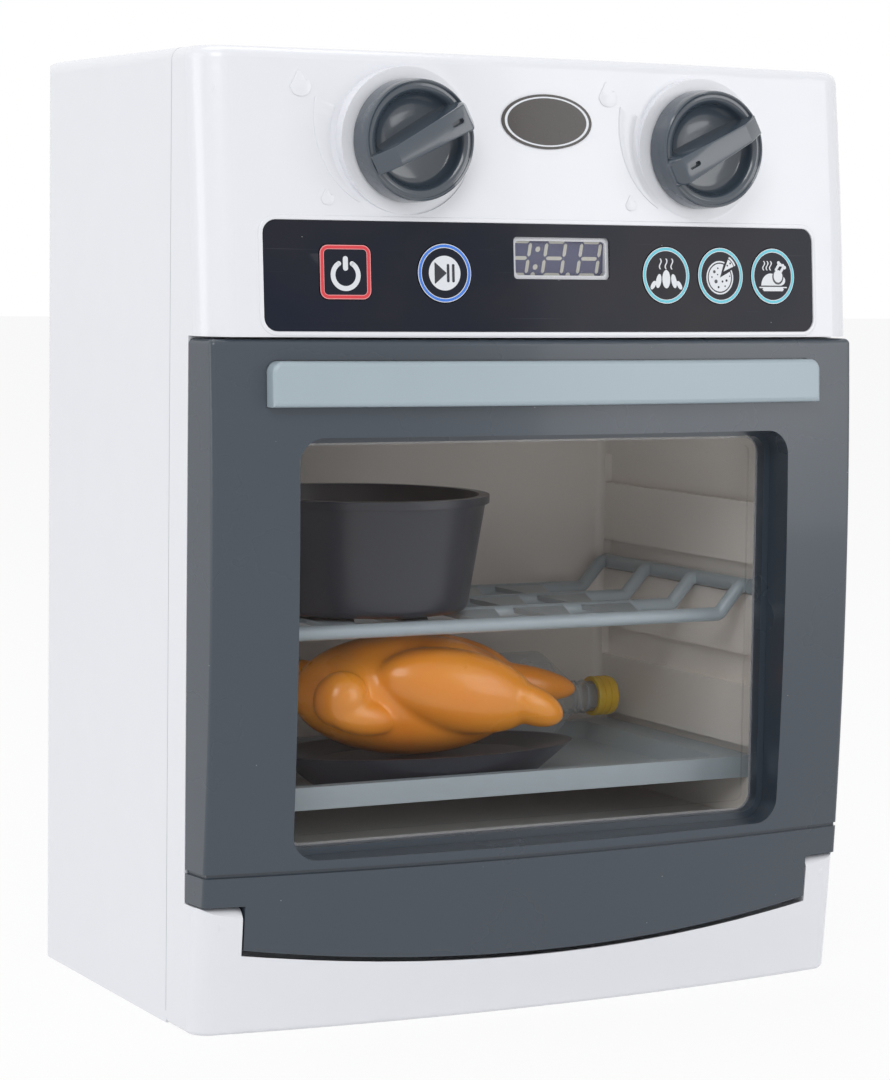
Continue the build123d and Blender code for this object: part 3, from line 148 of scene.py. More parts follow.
def mix_shaders(tree, output_kind, share, first, second):
    """Ends a node tree with two shaders: the first alone at a share of 0, and the second alone at 1."""
    mix = tree.nodes.new("ShaderNodeMixShader")
    out = tree.nodes.new(output_kind)
    for value, socket in zip((share, first.outputs[0], second.outputs[0]), mix.inputs):
        put(tree, value, socket)
    tree.links.new(mix.outputs[0], out.inputs[0])


def background_rays(tree):
    """One for the rays that see the background: from the camera, off shiny pieces and through clear ones."""
    path = tree.nodes.new("ShaderNodeLightPath")
    seen = path.outputs["Is Camera Ray"]
    for kind in ("Is Glossy Ray", "Is Transmission Ray"):
        seen = add_math(tree, "MAXIMUM", seen, path.outputs[kind])
    return seen


def make_world():
    """White wherever the background is seen, and a plain even light from all round."""
    world = bpy.data.worlds.new("studio")
    bpy.context.scene.world = world
    tree = empty_tree(world)
    lit = add_node(tree, "ShaderNodeBackground", Color=SKY_COLOR, Strength=SKY_LIGHT)
    seen = add_node(tree, "ShaderNodeBackground", Color=WHITE, Strength=1.0)
    mix_shaders(tree, "ShaderNodeOutputWorld", background_rays(tree), lit, seen)


def make_floor():
    """Plain pale floor that looks white wherever it is seen, and keeps the oven's soft shadow."""
    bm = bmesh.new()
    bmesh.ops.create_grid(bm, x_segments=1, y_segments=1, size=FLOOR_HALF)
    floor = link_mesh("floor", bm)
    material = bpy.data.materials.new("floor_white")
    tree = empty_tree(material)
    matt = add_node(tree, "ShaderNodeBsdfDiffuse", Color=FLOOR_COLOR)
    glow = add_node(tree, "ShaderNodeEmission", Color=WHITE, Strength=1.0)
    share = add_math(tree, "MULTIPLY", background_rays(tree), FLOOR_GLOW)
    mix_shaders(tree, "ShaderNodeOutputMaterial", share, matt, glow)
    floor.data.materials.append(material)


make_camera()
make_lamps()
make_world()
make_floor()


# ---------------------------------------------------------------- materials

def srgb(*screen):
    """Linear colour of a screen colour given in 0 to 255."""
    shares = [value / 255 for value in screen]
    return (*(v / 12.92 if v <= 0.04045 else ((v + 0.055) / 1.055) ** 2.4 for v in shares), 1)


class GroupMaker:
    """A shader node group with named sockets, and short calls for its nodes."""

    def __init__(self, name, inputs, outputs):
        self.tree = bpy.data.node_groups.new(name, "ShaderNodeTree")
        for title, value in inputs.items():
            kind = "NodeSocketFloat" if isinstance(value, float) else "NodeSocketColor"
            socket = self.tree.interface.new_socket(title, in_out="INPUT", socket_type=kind)
            socket.default_value = value
        for title, kind in outputs.items():
            self.tree.interface.new_socket(title, in_out="OUTPUT", socket_type=kind)
        self.given = self.tree.nodes.new("NodeGroupInput").outputs
        self.out = self.tree.nodes.new("NodeGroupOutput")
        self.place = self.tree.nodes.new("ShaderNodeTexCoord").outputs["Object"]

    def node(self, kind, **inputs):
        return add_node(self.tree, kind, **inputs)

    def noise(self, place, scale, detail):
        return self.node("ShaderNodeTexNoise", Vector=place, Scale=scale, Detail=detail).outputs[0]

    def math(self, operation, *values):
        return add_math(self.tree, operation, *values)

    def clamped(self, value):
        return self.math("MINIMUM", self.math("MAXIMUM", value, 0.0), 1.0)

    def blend(self, share, first, second):
        mix = self.tree.nodes.new("ShaderNodeMix")
        mix.data_type = "RGBA"
        set_inputs(self.tree, mix, Factor=share, A=first, B=second)
        return mix.outputs["Result"]

    def scaled(self, color, factor):
        step = self.tree.nodes.new("ShaderNodeVectorMath")
        step.operation = "SCALE"
        set_inputs(self.tree, step, Vector=color, Scale=factor)
        return step.outputs[0]


FINE_SCALE, FINE_HEIGHT = 900.0, 0.4
SCRATCH_TURNS = ((0.4, 0.9, 0.6), (1.3, 0.2, 2.0))
SCRATCH_STRETCH = (25, 25, 1500)
SCRATCH_LEVEL, SCRATCH_GAIN, SCRATCH_PALENESS = 0.74, 14.0, 0.3
SPECK_SCALE, SPECK_RADIUS, SPECK_ROUGHNESS = 210.0, 0.035, 0.5
# The share of the texture's cells that hold no speck.
SPECK_LEVEL = 0.84
DUST_COLOR = (0.62, 0.63, 0.65, 1)
PLAIN_GREY = (0.8, 0.8, 0.8, 1)


def surface_group():
    """Moulded plastic: faint blotches in the colour, uneven gloss, hairline scratches, specks of dust
    and a fine flow texture as a bump height."""
    g = GroupMaker("moulded_surface",
                   {"Color": PLAIN_GREY, "Second": PLAIN_GREY, "Tone": 0.03, "Roughness": 0.25,
                    "Unevenness": 0.08, "Scratches": 0.1, "Dust": 0.0, "Scale": 60.0},
                   {"Color": "NodeSocketColor", "Roughness": "NodeSocketFloat", "Height": "NodeSocketFloat"})
    blotch = g.noise(g.place, g.given["Scale"], 4.0)
    fine = g.noise(g.place, FINE_SCALE, 3.0)
    centred = g.math("MULTIPLY", g.math("SUBTRACT", blotch, 0.5), 2.0)

    marks = []
    for turn in SCRATCH_TURNS:
        lane = g.node("ShaderNodeMapping", Vector=g.place, Rotation=turn, Scale=SCRATCH_STRETCH)
        marks.append(g.noise(lane.outputs[0], 1.0, 1.0))
    line = g.math("SUBTRACT", g.math("MAXIMUM", *marks), SCRATCH_LEVEL)
    line = g.clamped(g.math("MULTIPLY", line, SCRATCH_GAIN))
    worn = g.math("MULTIPLY", line, g.given["Scratches"])

    spot = g.node("ShaderNodeTexVoronoi", Vector=g.place, Scale=SPECK_SCALE)
    pick = g.node("ShaderNodeSeparateColor", Color=spot.outputs["Color"]).outputs[0]
    speck = g.math("MULTIPLY", g.math("LESS_THAN", spot.outputs["Distance"], SPECK_RADIUS),
                   g.math("GREATER_THAN", pick, SPECK_LEVEL))
    speck = g.math("MULTIPLY", speck, g.given["Dust"])

    base = g.blend(g.clamped(g.math("ADD", 0.5, centred)), g.given["Color"], g.given["Second"])
    tone = g.math("ADD", 1.0, g.math("MULTIPLY", centred, g.given["Tone"]))
    dusty = g.math("MAXIMUM", speck, g.math("MULTIPLY", worn, SCRATCH_PALENESS))
    rough = g.math("ADD", g.given["Roughness"], g.math("MULTIPLY", centred, g.given["Unevenness"]))
    rough = g.math("ADD", rough, worn)
    set_inputs(g.tree, g.out, Color=g.blend(dusty, g.scaled(base, tone), DUST_COLOR),
               Roughness=g.math("ADD", rough, g.math("MULTIPLY", speck, SPECK_ROUGHNESS)),
               Height=g.math("ADD", g.math("MULTIPLY", fine, FINE_HEIGHT), blotch))
    return g.tree


SURFACE = surface_group()
BUMP_DISTANCE = 0.0002
COAT_ROUGHNESS = 0.08
SUBSURFACE_RADIUS = (1.0, 0.6, 0.4)
SUBSURFACE_SCALE = 0.003
PLASTIC_IOR = 1.49


def new_material(name):
    """A material with its node tree and its main shader."""
    material = bpy.data.materials.new(name)
    material.use_nodes = True
    return material, material.node_tree, material.node_tree.nodes["Principled BSDF"]


def add_surface(tree, **inputs):
    group = tree.nodes.new("ShaderNodeGroup")
    group.node_tree = SURFACE
    return set_inputs(tree, group, **inputs).outputs


def moulded(name, color, roughness=0.25, second=None, tone=0.03, unevenness=0.05, scratches=0.08, dust=0.0,
            scale=60.0, bump=0.05, coat=0.0, metallic=0.0, specular=0.5, subsurface=0.0):
    """Moulded or painted surface in one colour, or drifting towards a second."""
    material, tree, shader = new_material(name)
    skin = add_surface(tree, Color=color, Second=second or color, Tone=tone, Roughness=roughness,
                       Unevenness=unevenness, Scratches=scratches, Dust=dust, Scale=scale)
    lumps = add_node(tree, "ShaderNodeBump", Strength=bump, Distance=BUMP_DISTANCE, Height=skin["Height"])
    set_inputs(tree, shader, Base_Color=skin["Color"], Roughness=skin["Roughness"], Normal=lumps.outputs[0],
               Metallic=metallic, Specular_IOR_Level=specular, Coat_Weight=coat,
               Coat_Roughness=COAT_ROUGHNESS, Subsurface_Weight=subsurface,
               Subsurface_Radius=SUBSURFACE_RADIUS, Subsurface_Scale=SUBSURFACE_SCALE)
    return material


def clear(name, color, roughness, alpha, specular=0.5):
    """Thin clear plastic: most light goes straight through, and the rest is a tinted glossy film."""
    material, tree, shader = new_material(name)
    skin = add_surface(tree, Color=color, Second=color, Tone=0.05, Roughness=roughness, Unevenness=0.02,
                       Scratches=0.04, Dust=0.0, Scale=25.0)
    set_inputs(tree, shader, Base_Color=skin["Color"], Roughness=skin["Roughness"], Alpha=alpha,
               IOR=PLASTIC_IOR, Specular_IOR_Level=specular)
    return material


WHITE_PLASTIC = srgb(235, 236, 241)
SLATE = srgb(60, 69, 79)
FILM = srgb(27, 34, 49)
FILM_BROWN = srgb(46, 44, 48)
FILM_LOOK = {"second": FILM_BROWN, "tone": 0.05, "scratches": 0.12, "dust": 0.6, "scale": 22.0,
             "specular": 0.12}
INK_LOOK = {"roughness": 0.26, "tone": 0.04}

# One material for each slot of the CAD model.
MATERIALS = {
    "casing_white": moulded("casing_white", WHITE_PLASTIC, 0.24, tone=0.010, coat=0.25, scratches=0.0),
    "door_grey": moulded("door_grey", SLATE, 0.28, second=srgb(56, 66, 77), tone=0.03, coat=0.2,
                         scratches=0.0, dust=0.5, scale=20.0),
    "handle_grey": moulded("handle_grey", srgb(166, 180, 188), 0.30, tone=0.02, scratches=0.0, dust=0.15),
    "cream": moulded("cream", srgb(247, 242, 236), 0.42, tone=0.03),
    "rack_grey": moulded("rack_grey", srgb(172, 185, 192), 0.30, tone=0.03, scratches=0.0),
    "panel_navy": moulded("panel_navy", FILM, 0.13, **FILM_LOOK),
    "key_dark": moulded("key_dark", FILM, 0.13, **FILM_LOOK),
    "smoked": clear("smoked", srgb(86, 70, 66), 0.08, 0.06),
    "badge_plain": moulded("badge_plain", srgb(48, 41, 39), 0.26, tone=0.08, coat=0.2, scale=500.0),
    "steel": moulded("steel", srgb(190, 190, 190), 0.30, metallic=1.0),
    "board_green": moulded("board_green", srgb(35, 95, 60), 0.40, tone=0.1),
    "black_plastic": moulded("black_plastic", srgb(28, 28, 30), 0.45),
    "cell_label": moulded("cell_label", srgb(60, 95, 150), 0.35),
    "nylon": moulded("nylon", srgb(236, 236, 228), 0.45, subsurface=0.2),
    "chicken_brown": moulded("chicken_brown", srgb(255, 170, 52), 0.28, second=srgb(244, 142, 38), tone=0.08,
                             scale=22.0, bump=0.12, coat=0.3, subsurface=0.15),
    "pot_dark": moulded("pot_dark", srgb(52, 57, 66), 0.30, tone=0.05, scratches=0.1),
    "bottle_clear": clear("bottle_clear", srgb(225, 230, 232), 0.10, 0.32),
    "cap_yellow": moulded("cap_yellow", srgb(255, 205, 45), 0.22, subsurface=0.35, coat=0.4),
}
KNOB_GREY = moulded("knob_grey", SLATE, 0.17, second=srgb(66, 76, 87), tone=0.03, scratches=0.0, dust=0.3,
                    coat=0.7, scale=20.0)
PRINTS = {
    # White print ink, which also paints the highlight line round the display window.
    "white_print_and_highlight": moulded("white_print_and_highlight", srgb(226, 229, 234), 0.30, tone=0.03, dust=0.2),
    "seam_grey": moulded("seam_grey", srgb(176, 177, 181), 0.45),
    "print_dark": moulded("print_dark", srgb(36, 39, 50), 0.22),
    "print_red": moulded("print_red", srgb(222, 62, 70), **INK_LOOK),
    "print_pink": moulded("print_pink", srgb(240, 158, 160), **INK_LOOK),
    "print_blue": moulded("print_blue", srgb(60, 124, 222), **INK_LOOK),
    "print_teal": moulded("print_teal", srgb(92, 198, 216), **INK_LOOK),
    "segment_pale": moulded("segment_pale", srgb(206, 204, 194), 0.50, tone=0.04, bump=0.2),
    "module_slate": moulded("module_slate", srgb(96, 97, 122), 0.50, tone=0.06, bump=0.3),
}
MODULE_NODE = "display_module"
WINDOW_NODE = "display_window"
SLOT_OF = {entry["node"]: entry["material_slot"] for entry in frame["record"]["subparts"]}


def dress_cad():
    """Every carried-over piece of the CAD model takes the finish of its slot."""
    special = {MODULE_NODE: PRINTS["module_slate"],
               WINDOW_NODE: clear("display_clear", srgb(60, 62, 74), 0.08, 0.06)}
    for name, cad in frame["nodes"].items():
        cad.data.materials.clear()
        cad.data.materials.append(special.get(name) or MATERIALS[SLOT_OF[name]])


dress_cad()


# ---------------------------------------------------------------- making and finishing pieces

# The front is bowed about an upright line behind the oven, and bulged about a level one.
BOW_CENTRE_Y = 690.5
BOW_RADIUS = 767
BULGE_RADIUS = 1225
BULGE_HEIGHT = 140
# Stands what is drawn in XY upright, to face the front.
XZ_PLANE = Matrix.Rotation(radians(90), 4, "X")
WELD = 0.0005
COARSE_WELD = 0.001


def front_y(x, z):
    """Where the bowed and bulged front lies at one place."""
    ring = BOW_RADIUS - BULGE_RADIUS + sqrt(BULGE_RADIUS ** 2 - (z - BULGE_HEIGHT) ** 2)
    return BOW_CENTRE_Y - sqrt(ring ** 2 - x ** 2)


def weld(bm, within=WELD):
    bmesh.ops.remove_doubles(bm, verts=bm.verts, dist=within)


def cut_across(bm, place, normal, clear_outer=False):
    """Cuts the whole shape along a plane, and drops what lies past the plane if that is asked."""
    bmesh.ops.bisect_plane(bm, geom=bm.verts[:] + bm.edges[:] + bm.faces[:], plane_co=place, plane_no=normal,
                           clear_outer=clear_outer)


def push_out(bm, faces, depth):
    """Extrudes faces towards the front, and returns the vertices that moved."""
    made = bmesh.ops.extrude_face_region(bm, geom=faces)
    moved = [item for item in made["geom"] if isinstance(item, bmesh.types.BMVert)]
    bmesh.ops.translate(bm, verts=moved, vec=(0, -depth, 0))
    return moved


def round_corners(bm, verts, radius, segments):
    """Rounds the corners of flat faces, and returns the new vertices."""
    return bmesh.ops.bevel(bm, geom=verts, offset=radius, segments=segments, profile=0.5, affect="VERTICES",
                           material=-1)["verts"]


def round_edges(bm, edges, radius, segments, clamp=False):
    bmesh.ops.bevel(bm, geom=edges, offset=radius, segments=segments, profile=0.5, affect="EDGES",
                    material=-1, clamp_overlap=clamp)


def sweep_round(bm, places, centre, axis, angle, steps):
    """Sweeps a chain of points round an axis, and joins the two ends of a full turn."""
    verts = [bm.verts.new(place) for place in places]
    chain = [bm.edges.new(pair) for pair in zip(verts, verts[1:])]
    bmesh.ops.spin(bm, geom=verts + chain, cent=centre, axis=axis, dvec=(0, 0, 0), angle=angle, steps=steps,
                   use_merge=angle == 2 * pi)


def finish(name, bm, body, material, replaced=(), sharp=30):
    """Welds a piece drawn in millimetres, and puts it on its body with its material."""
    weld(bm)
    bmesh.ops.recalc_face_normals(bm, faces=bm.faces)
    bmesh.ops.scale(bm, vec=(MM, MM, MM), verts=bm.verts)
    piece = link_mesh(name, bm)
    piece.data.shade_smooth()
    piece.data.set_sharp_from_angle(angle=radians(sharp))
    piece.data.materials.append(material)
    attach(piece, body)
    if replaced:
        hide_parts(*replaced)


def edges_of(verts):
    """The edges at these vertices, once each and in a fixed order."""
    return list(dict.fromkeys(edge for vert in verts for edge in vert.link_edges))


# ---------------------------------------------------------------- printed marks

# Marks are films in layers. Each has its back a little inside what carries it.
FILM_THICK = 0.05
SUNK = 0.03
DISC_SEGMENTS, RING_SEGMENTS, ARC_STEPS, WAVE_STEPS = 48, 64, 40, 12
LEAST_CORNER = 0.3


def flat_place(x, z, width=1.0, height=1.0, lean=0.0):
    """Where a flat shape stands on the front, how it is stretched, and how it leans to the left."""
    return (Matrix.Translation((x, 0, z)) @ XZ_PLANE @ Matrix.Rotation(radians(lean), 4, "Z")
            @ Matrix.Diagonal((width, height, 1, 1)))


def flat_disc(bm, x, z, radius, wide=1.0, lean=0.0):
    bmesh.ops.create_circle(bm, cap_ends=True, segments=DISC_SEGMENTS, radius=radius,
                            matrix=flat_place(x, z, wide, lean=lean))


def flat_ring(bm, x, z, outer, inner, wide=1.0):
    place = flat_place(x, z, wide)
    verts = []
    for radius in (outer, inner):
        verts += bmesh.ops.create_circle(bm, segments=RING_SEGMENTS, radius=radius, matrix=place)["verts"]
    bmesh.ops.bridge_loops(bm, edges=edges_of(verts))


def flat_plate(bm, x, z, width, height, corner, lean=0.0, segments=6):
    place = flat_place(x, z, width, height, lean)
    verts = bmesh.ops.create_grid(bm, x_segments=1, y_segments=1, size=0.5, matrix=place)["verts"]
    return round_corners(bm, verts, corner, segments)


def flat_frame(bm, x, z, width, height, corner, thick):
    """Outline of a rounded plate."""
    loops = flat_plate(bm, x, z, width, height, corner)
    loops += flat_plate(bm, x, z, width - 2 * thick, height - 2 * thick, max(corner - thick, LEAST_CORNER))
    edges = edges_of(loops)
    filled = dict.fromkeys(face for edge in edges for face in edge.link_faces)
    bmesh.ops.delete(bm, geom=list(filled), context="FACES_ONLY")
    bmesh.ops.bridge_loops(bm, edges=edges)


def flat_arc(bm, x, z, outer, inner, start, sweep):
    """Part of a ring, or of a disc when the inner radius is 0, counter-clockwise from X, in degrees."""
    turn = radians(start)
    ends = [(x + radius * cos(turn), 0, z + radius * sin(turn)) for radius in (inner, outer)]
    sweep_round(bm, ends, (x, 0, z), (0, -1, 0), radians(sweep), ARC_STEPS)


def flat_wave(bm, x, z, width, height, sway):
    """Upright wisp of steam."""
    verts = bmesh.ops.create_grid(bm, x_segments=1, y_segments=WAVE_STEPS, size=0.5,
                                  matrix=flat_place(x, z, width, height))["verts"]
    for vert in verts:
        vert.co.x += sway * sin((vert.co.z - z) / height * 2 * pi)


def lay_print(name, bm, body, ink, layer=1):
    """Gives flat marks their film thickness, and lays them on the bowed front."""
    weld(bm)
    push_out(bm, bm.faces[:], FILM_THICK * layer + SUNK)
    for vert in bm.verts:
        vert.co.y += front_y(vert.co.x, vert.co.z) + SUNK
    finish(name, bm, body, PRINTS[ink])


KEY_Z = 232.9
POWER_X, PLAY_X = -72.7, -40.2
PASTRY_X, PIZZA_X, ROAST_X = 39.2, 60.5, 81.8
RING_OUTER, RING_INNER = 8.70, 7.90
OUTLINE = 0.22
KEY_RINGS = (("play", PLAY_X, "print_blue"), ("pastry", PASTRY_X, "print_teal"),
             ("pizza", PIZZA_X, "print_teal"), ("roast", ROAST_X, "print_teal"))
# Each frame: name, ink, side, corner and thickness, from the lowest layer up.
POWER_FRAMES = (("power_frame_edge", "print_pink", 16.3, 2.6, 1.30),
                ("power_frame", "print_red", 15.8, 2.4, 0.85))
POWER_DROP = 0.9
POWER_ARC_OUTER, POWER_ARC_INNER, POWER_HALF_GAP = 4.8, 3.3, 32
POWER_STEM_RISE, POWER_STEM_WIDTH, POWER_STEM_HEIGHT, POWER_STEM_CORNER = 3.5, 1.6, 4.4, 0.78
PLAY_DISC = 5.3
PLAY_ARROW = ((-3.4, -3.4), (0.7, 0), (-3.4, 3.4))
PLAY_ARROW_CORNER = 0.35
PAUSE_PLACES = (1.15, 2.9)
PAUSE_WIDTH, PAUSE_HEIGHT, PAUSE_CORNER = 0.85, 5.6, 0.4
STEAM_WIDTH = 0.45
PASTRY_STEAM_GAP, PASTRY_STEAM_RISE, PASTRY_STEAM_HEIGHT, PASTRY_STEAM_SWAY = 2.2, 3.6, 3.4, 0.35
# Each fold of the pastry: place from the key's centre, radius, and width as a share of height. The outer
# folds lean in at the top too, in degrees.
PASTRY_MIDDLE = (0, -1.2, 2.9, 0.52)
PASTRY_FOLDS = ((2.95, -1.8, 2.25, 0.44, 12), (5.0, -3.1, 1.55, 0.50, 34))
PIZZA_SHIFT = (-0.3, -0.6)
# Each arc: place from the pizza's centre, outer and inner radius, where it starts and how far it goes.
# The last two are the slice that is drawn away.
PIZZA_ARCS = ((0, 0, 5.35, 4.85, 68, 320), (0, 0, 4.45, 0, 70, 316), (1.5, 2.0, 5.2, 4.6, 22, 42),
              (1.5, 2.0, 4.3, 0, 22, 42))
PIZZA_TOPPINGS = ((-2.2, 1.9, 0.5), (-0.8, 3.0, 0.28), (-1.6, -1.2, 0.62), (1.0, -1.2, 0.35),
                  (2.6, -0.9, 0.42), (-0.6, -3.0, 0.38), (2.0, -2.7, 0.28), (-3.2, 0.2, 0.26),
                  (-0.9, 1.0, 0.24), (3.0, 3.9, 0.3), (4.2, 4.6, 0.34), (3.9, 0.5, 0.24))
# Each plate: place from the key's centre, width, height, corner and the steps of the corner.
ROAST_PLATES = ((0.1, -3.6, 11.4, 0.4, 0.15, 6), (0.1, -4.2, 8.8, 1.2, 0.55, 1))
# The dome is an arc, and the wing and the leg are discs: place, radius, and width as a share of height.
ROAST_DOME = (-0.9, -3.0, 3.9, 0, 0, 180)
ROAST_WING = (3.0, -1.35, 1.65, 1.3)
ROAST_STEAM_MIDDLE, ROAST_STEAM_GAP, ROAST_STEAM_RISE = -2.3, 1.4, 3.4
ROAST_STEAM_HEIGHT, ROAST_STEAM_SWAY = 3.0, 0.4
ROAST_LEG_EDGE = (2.1, -0.2, 2.45, 0.95)
ROAST_LEG = (2.1, 0.0, 2.0, 0.9)
BONES = ((3.7, 2.0), (1.9, 2.9))
BONE_WIDTH, BONE_HEIGHT, BONE_CORNER, BONE_LEAN = 0.9, 2.9, 0.4, -38
BONE_KNUCKLES = ((0.55, 1.45), (1.25, 0.85))
KNUCKLE_RADIUS = 0.58


def key_rings():
    """Coloured ring of each round key, on a pale ring that shows along both of its edges."""
    for name, x, ink in KEY_RINGS:
        bm = bmesh.new()
        flat_ring(bm, x, KEY_Z, RING_OUTER + OUTLINE, RING_INNER - OUTLINE)
        lay_print(name + "_ring_edge", bm, name + "_key", "white_print_and_highlight")
        bm = bmesh.new()
        flat_ring(bm, x, KEY_Z, RING_OUTER, RING_INNER)
        lay_print(name + "_ring", bm, name + "_key", ink, layer=2)


def power_mark():
    """Rounded square round an open ring with an upright stem."""
    for layer, (name, ink, side, corner, thick) in enumerate(POWER_FRAMES, 1):
        bm = bmesh.new()
        flat_frame(bm, POWER_X, KEY_Z, side, side, corner, thick)
        lay_print(name, bm, "power_key", ink, layer)
    bm = bmesh.new()
    z = KEY_Z - POWER_DROP
    middle, half = (POWER_ARC_OUTER + POWER_ARC_INNER) / 2, (POWER_ARC_OUTER - POWER_ARC_INNER) / 2
    ends = (90 + POWER_HALF_GAP, 90 - POWER_HALF_GAP)
    flat_arc(bm, POWER_X, z, POWER_ARC_OUTER, POWER_ARC_INNER, ends[0], 360 - 2 * POWER_HALF_GAP)
    for turn in ends:
        flat_disc(bm, POWER_X + middle * cos(radians(turn)), z + middle * sin(radians(turn)), half)
    flat_plate(bm, POWER_X, z + POWER_STEM_RISE, POWER_STEM_WIDTH, POWER_STEM_HEIGHT, POWER_STEM_CORNER)
    lay_print("power_symbol", bm, "power_key", "white_print_and_highlight")


def play_mark():
    """Pale disc with a dark arrow and two bars."""
    bm = bmesh.new()
    flat_disc(bm, PLAY_X, KEY_Z, PLAY_DISC)
    lay_print("play_disc", bm, "play_key", "white_print_and_highlight")
    bm = bmesh.new()
    verts = [bm.verts.new((PLAY_X + x, 0, KEY_Z + z)) for x, z in PLAY_ARROW]
    bm.faces.new(verts)
    round_corners(bm, verts, PLAY_ARROW_CORNER, 3)
    for x in PAUSE_PLACES:
        flat_plate(bm, PLAY_X + x, KEY_Z, PAUSE_WIDTH, PAUSE_HEIGHT, PAUSE_CORNER)
    lay_print("play_symbol", bm, "play_key", "print_dark", layer=2)


def steam(bm, x, z, gap, height, sway):
    """Three wisps side by side."""
    for side in (-1, 0, 1):
        flat_wave(bm, x + gap * side, z, STEAM_WIDTH, height, sway)


def pastry_mark():
    """Croissant in five folds, under steam."""
    bm = bmesh.new()
    steam(bm, PASTRY_X, KEY_Z + PASTRY_STEAM_RISE, PASTRY_STEAM_GAP, PASTRY_STEAM_HEIGHT, PASTRY_STEAM_SWAY)
    dx, dz, radius, wide = PASTRY_MIDDLE
    flat_disc(bm, PASTRY_X + dx, KEY_Z + dz, radius, wide)
    for side in (-1, 1):
        for dx, dz, radius, wide, lean in PASTRY_FOLDS:
            flat_disc(bm, PASTRY_X + dx * side, KEY_Z + dz, radius, wide, lean * side)
    lay_print("pastry_symbol", bm, "pastry_key", "white_print_and_highlight")


def pizza_mark():
    """Round pizza with one slice drawn away, and dots on it."""
    x, z = PIZZA_X + PIZZA_SHIFT[0], KEY_Z + PIZZA_SHIFT[1]
    bm = bmesh.new()
    for dx, dz, *arc in PIZZA_ARCS:
        flat_arc(bm, x + dx, z + dz, *arc)
    lay_print("pizza_symbol", bm, "pizza_key", "white_print_and_highlight")
    bm = bmesh.new()
    for dx, dz, radius in PIZZA_TOPPINGS:
        flat_disc(bm, x + dx, z + dz, radius)
    lay_print("pizza_topping", bm, "pizza_key", "print_dark", layer=2)


def roast_mark():
    """Roast bird on a dish, with steam over it and a leg on top, set off by a dark edge."""
    x, z = ROAST_X, KEY_Z
    bm = bmesh.new()
    for dx, dz, width, height, corner, segments in ROAST_PLATES:
        flat_plate(bm, x + dx, z + dz, width, height, corner, segments=segments)
    dx, dz, *dome = ROAST_DOME
    flat_arc(bm, x + dx, z + dz, *dome)
    dx, dz, *wing = ROAST_WING
    flat_disc(bm, x + dx, z + dz, *wing)
    steam(bm, x + ROAST_STEAM_MIDDLE, z + ROAST_STEAM_RISE, ROAST_STEAM_GAP, ROAST_STEAM_HEIGHT,
          ROAST_STEAM_SWAY)
    lay_print("roast_symbol", bm, "roast_key", "white_print_and_highlight")
    bm = bmesh.new()
    dx, dz, *edge = ROAST_LEG_EDGE
    flat_disc(bm, x + dx, z + dz, *edge)
    lay_print("roast_leg_edge", bm, "roast_key", "print_dark", layer=2)
    bm = bmesh.new()
    dx, dz, *leg = ROAST_LEG
    flat_disc(bm, x + dx, z + dz, *leg)
    for dx, dz in BONES:
        flat_plate(bm, x + dx, z + dz, BONE_WIDTH, BONE_HEIGHT, BONE_CORNER, BONE_LEAN)
        for knuckle_x, knuckle_z in BONE_KNUCKLES:
            flat_disc(bm, x + dx + knuckle_x, z + dz + knuckle_z, KNUCKLE_RADIUS)
    lay_print("roast_leg", bm, "roast_key", "white_print_and_highlight", layer=3)


# ---------------------------------------------------------------- display and badge

MODULE_FRONT = -69.6
MODULE_X, MODULE_Z = 0.9, 237.8
MODULE_HALF_HEIGHT = 6.3
DIGIT_X = -0.5
DIGIT_PITCH = 12.6
DIGIT_LEAN = 9
BAR_THICK = 1.15
BAR_MITRE = 0.48 * BAR_THICK
BAR_HALF_REACH = 3.4
BAR_RISE = 5.15
LEVEL_BAR_GAP, UPRIGHT_BAR_GAP = 1.0, 0.9
POINT_SHIFT, POINT_RADIUS = 5.8, 0.8
COLON_RISE, COLON_RADIUS = 2.75, 0.85
# The painted highlight line round the window: width, height, corner and thickness. Its painted glint: width,
# height and corner.
WINDOW_HIGHLIGHT_LINE = (34.6, 13.0, 0.9, 0.3)
GLINT_SHIFT, GLINT = 16.5, (0.6, 12.2, 0.25)
BADGE_X, BADGE_Z = -3.3, 280.0
BADGE_LINE_OUTER, BADGE_LINE_INNER = 7.75, 7.30
BADGE_WIDE = 1.93
# The badge stands proud of the front, so its line is this many films thick.
BADGE_LAYER = 8


def lay_flat(name, bm, ink, layer=1):
    """Gives flat marks their film thickness, and lays them on the flat face of the display module."""
    push_out(bm, bm.faces[:], FILM_THICK * layer + SUNK)
    bmesh.ops.translate(bm, verts=bm.verts, vec=(0, MODULE_FRONT + SUNK, 0))
    finish(name, bm, "casing", PRINTS[ink])


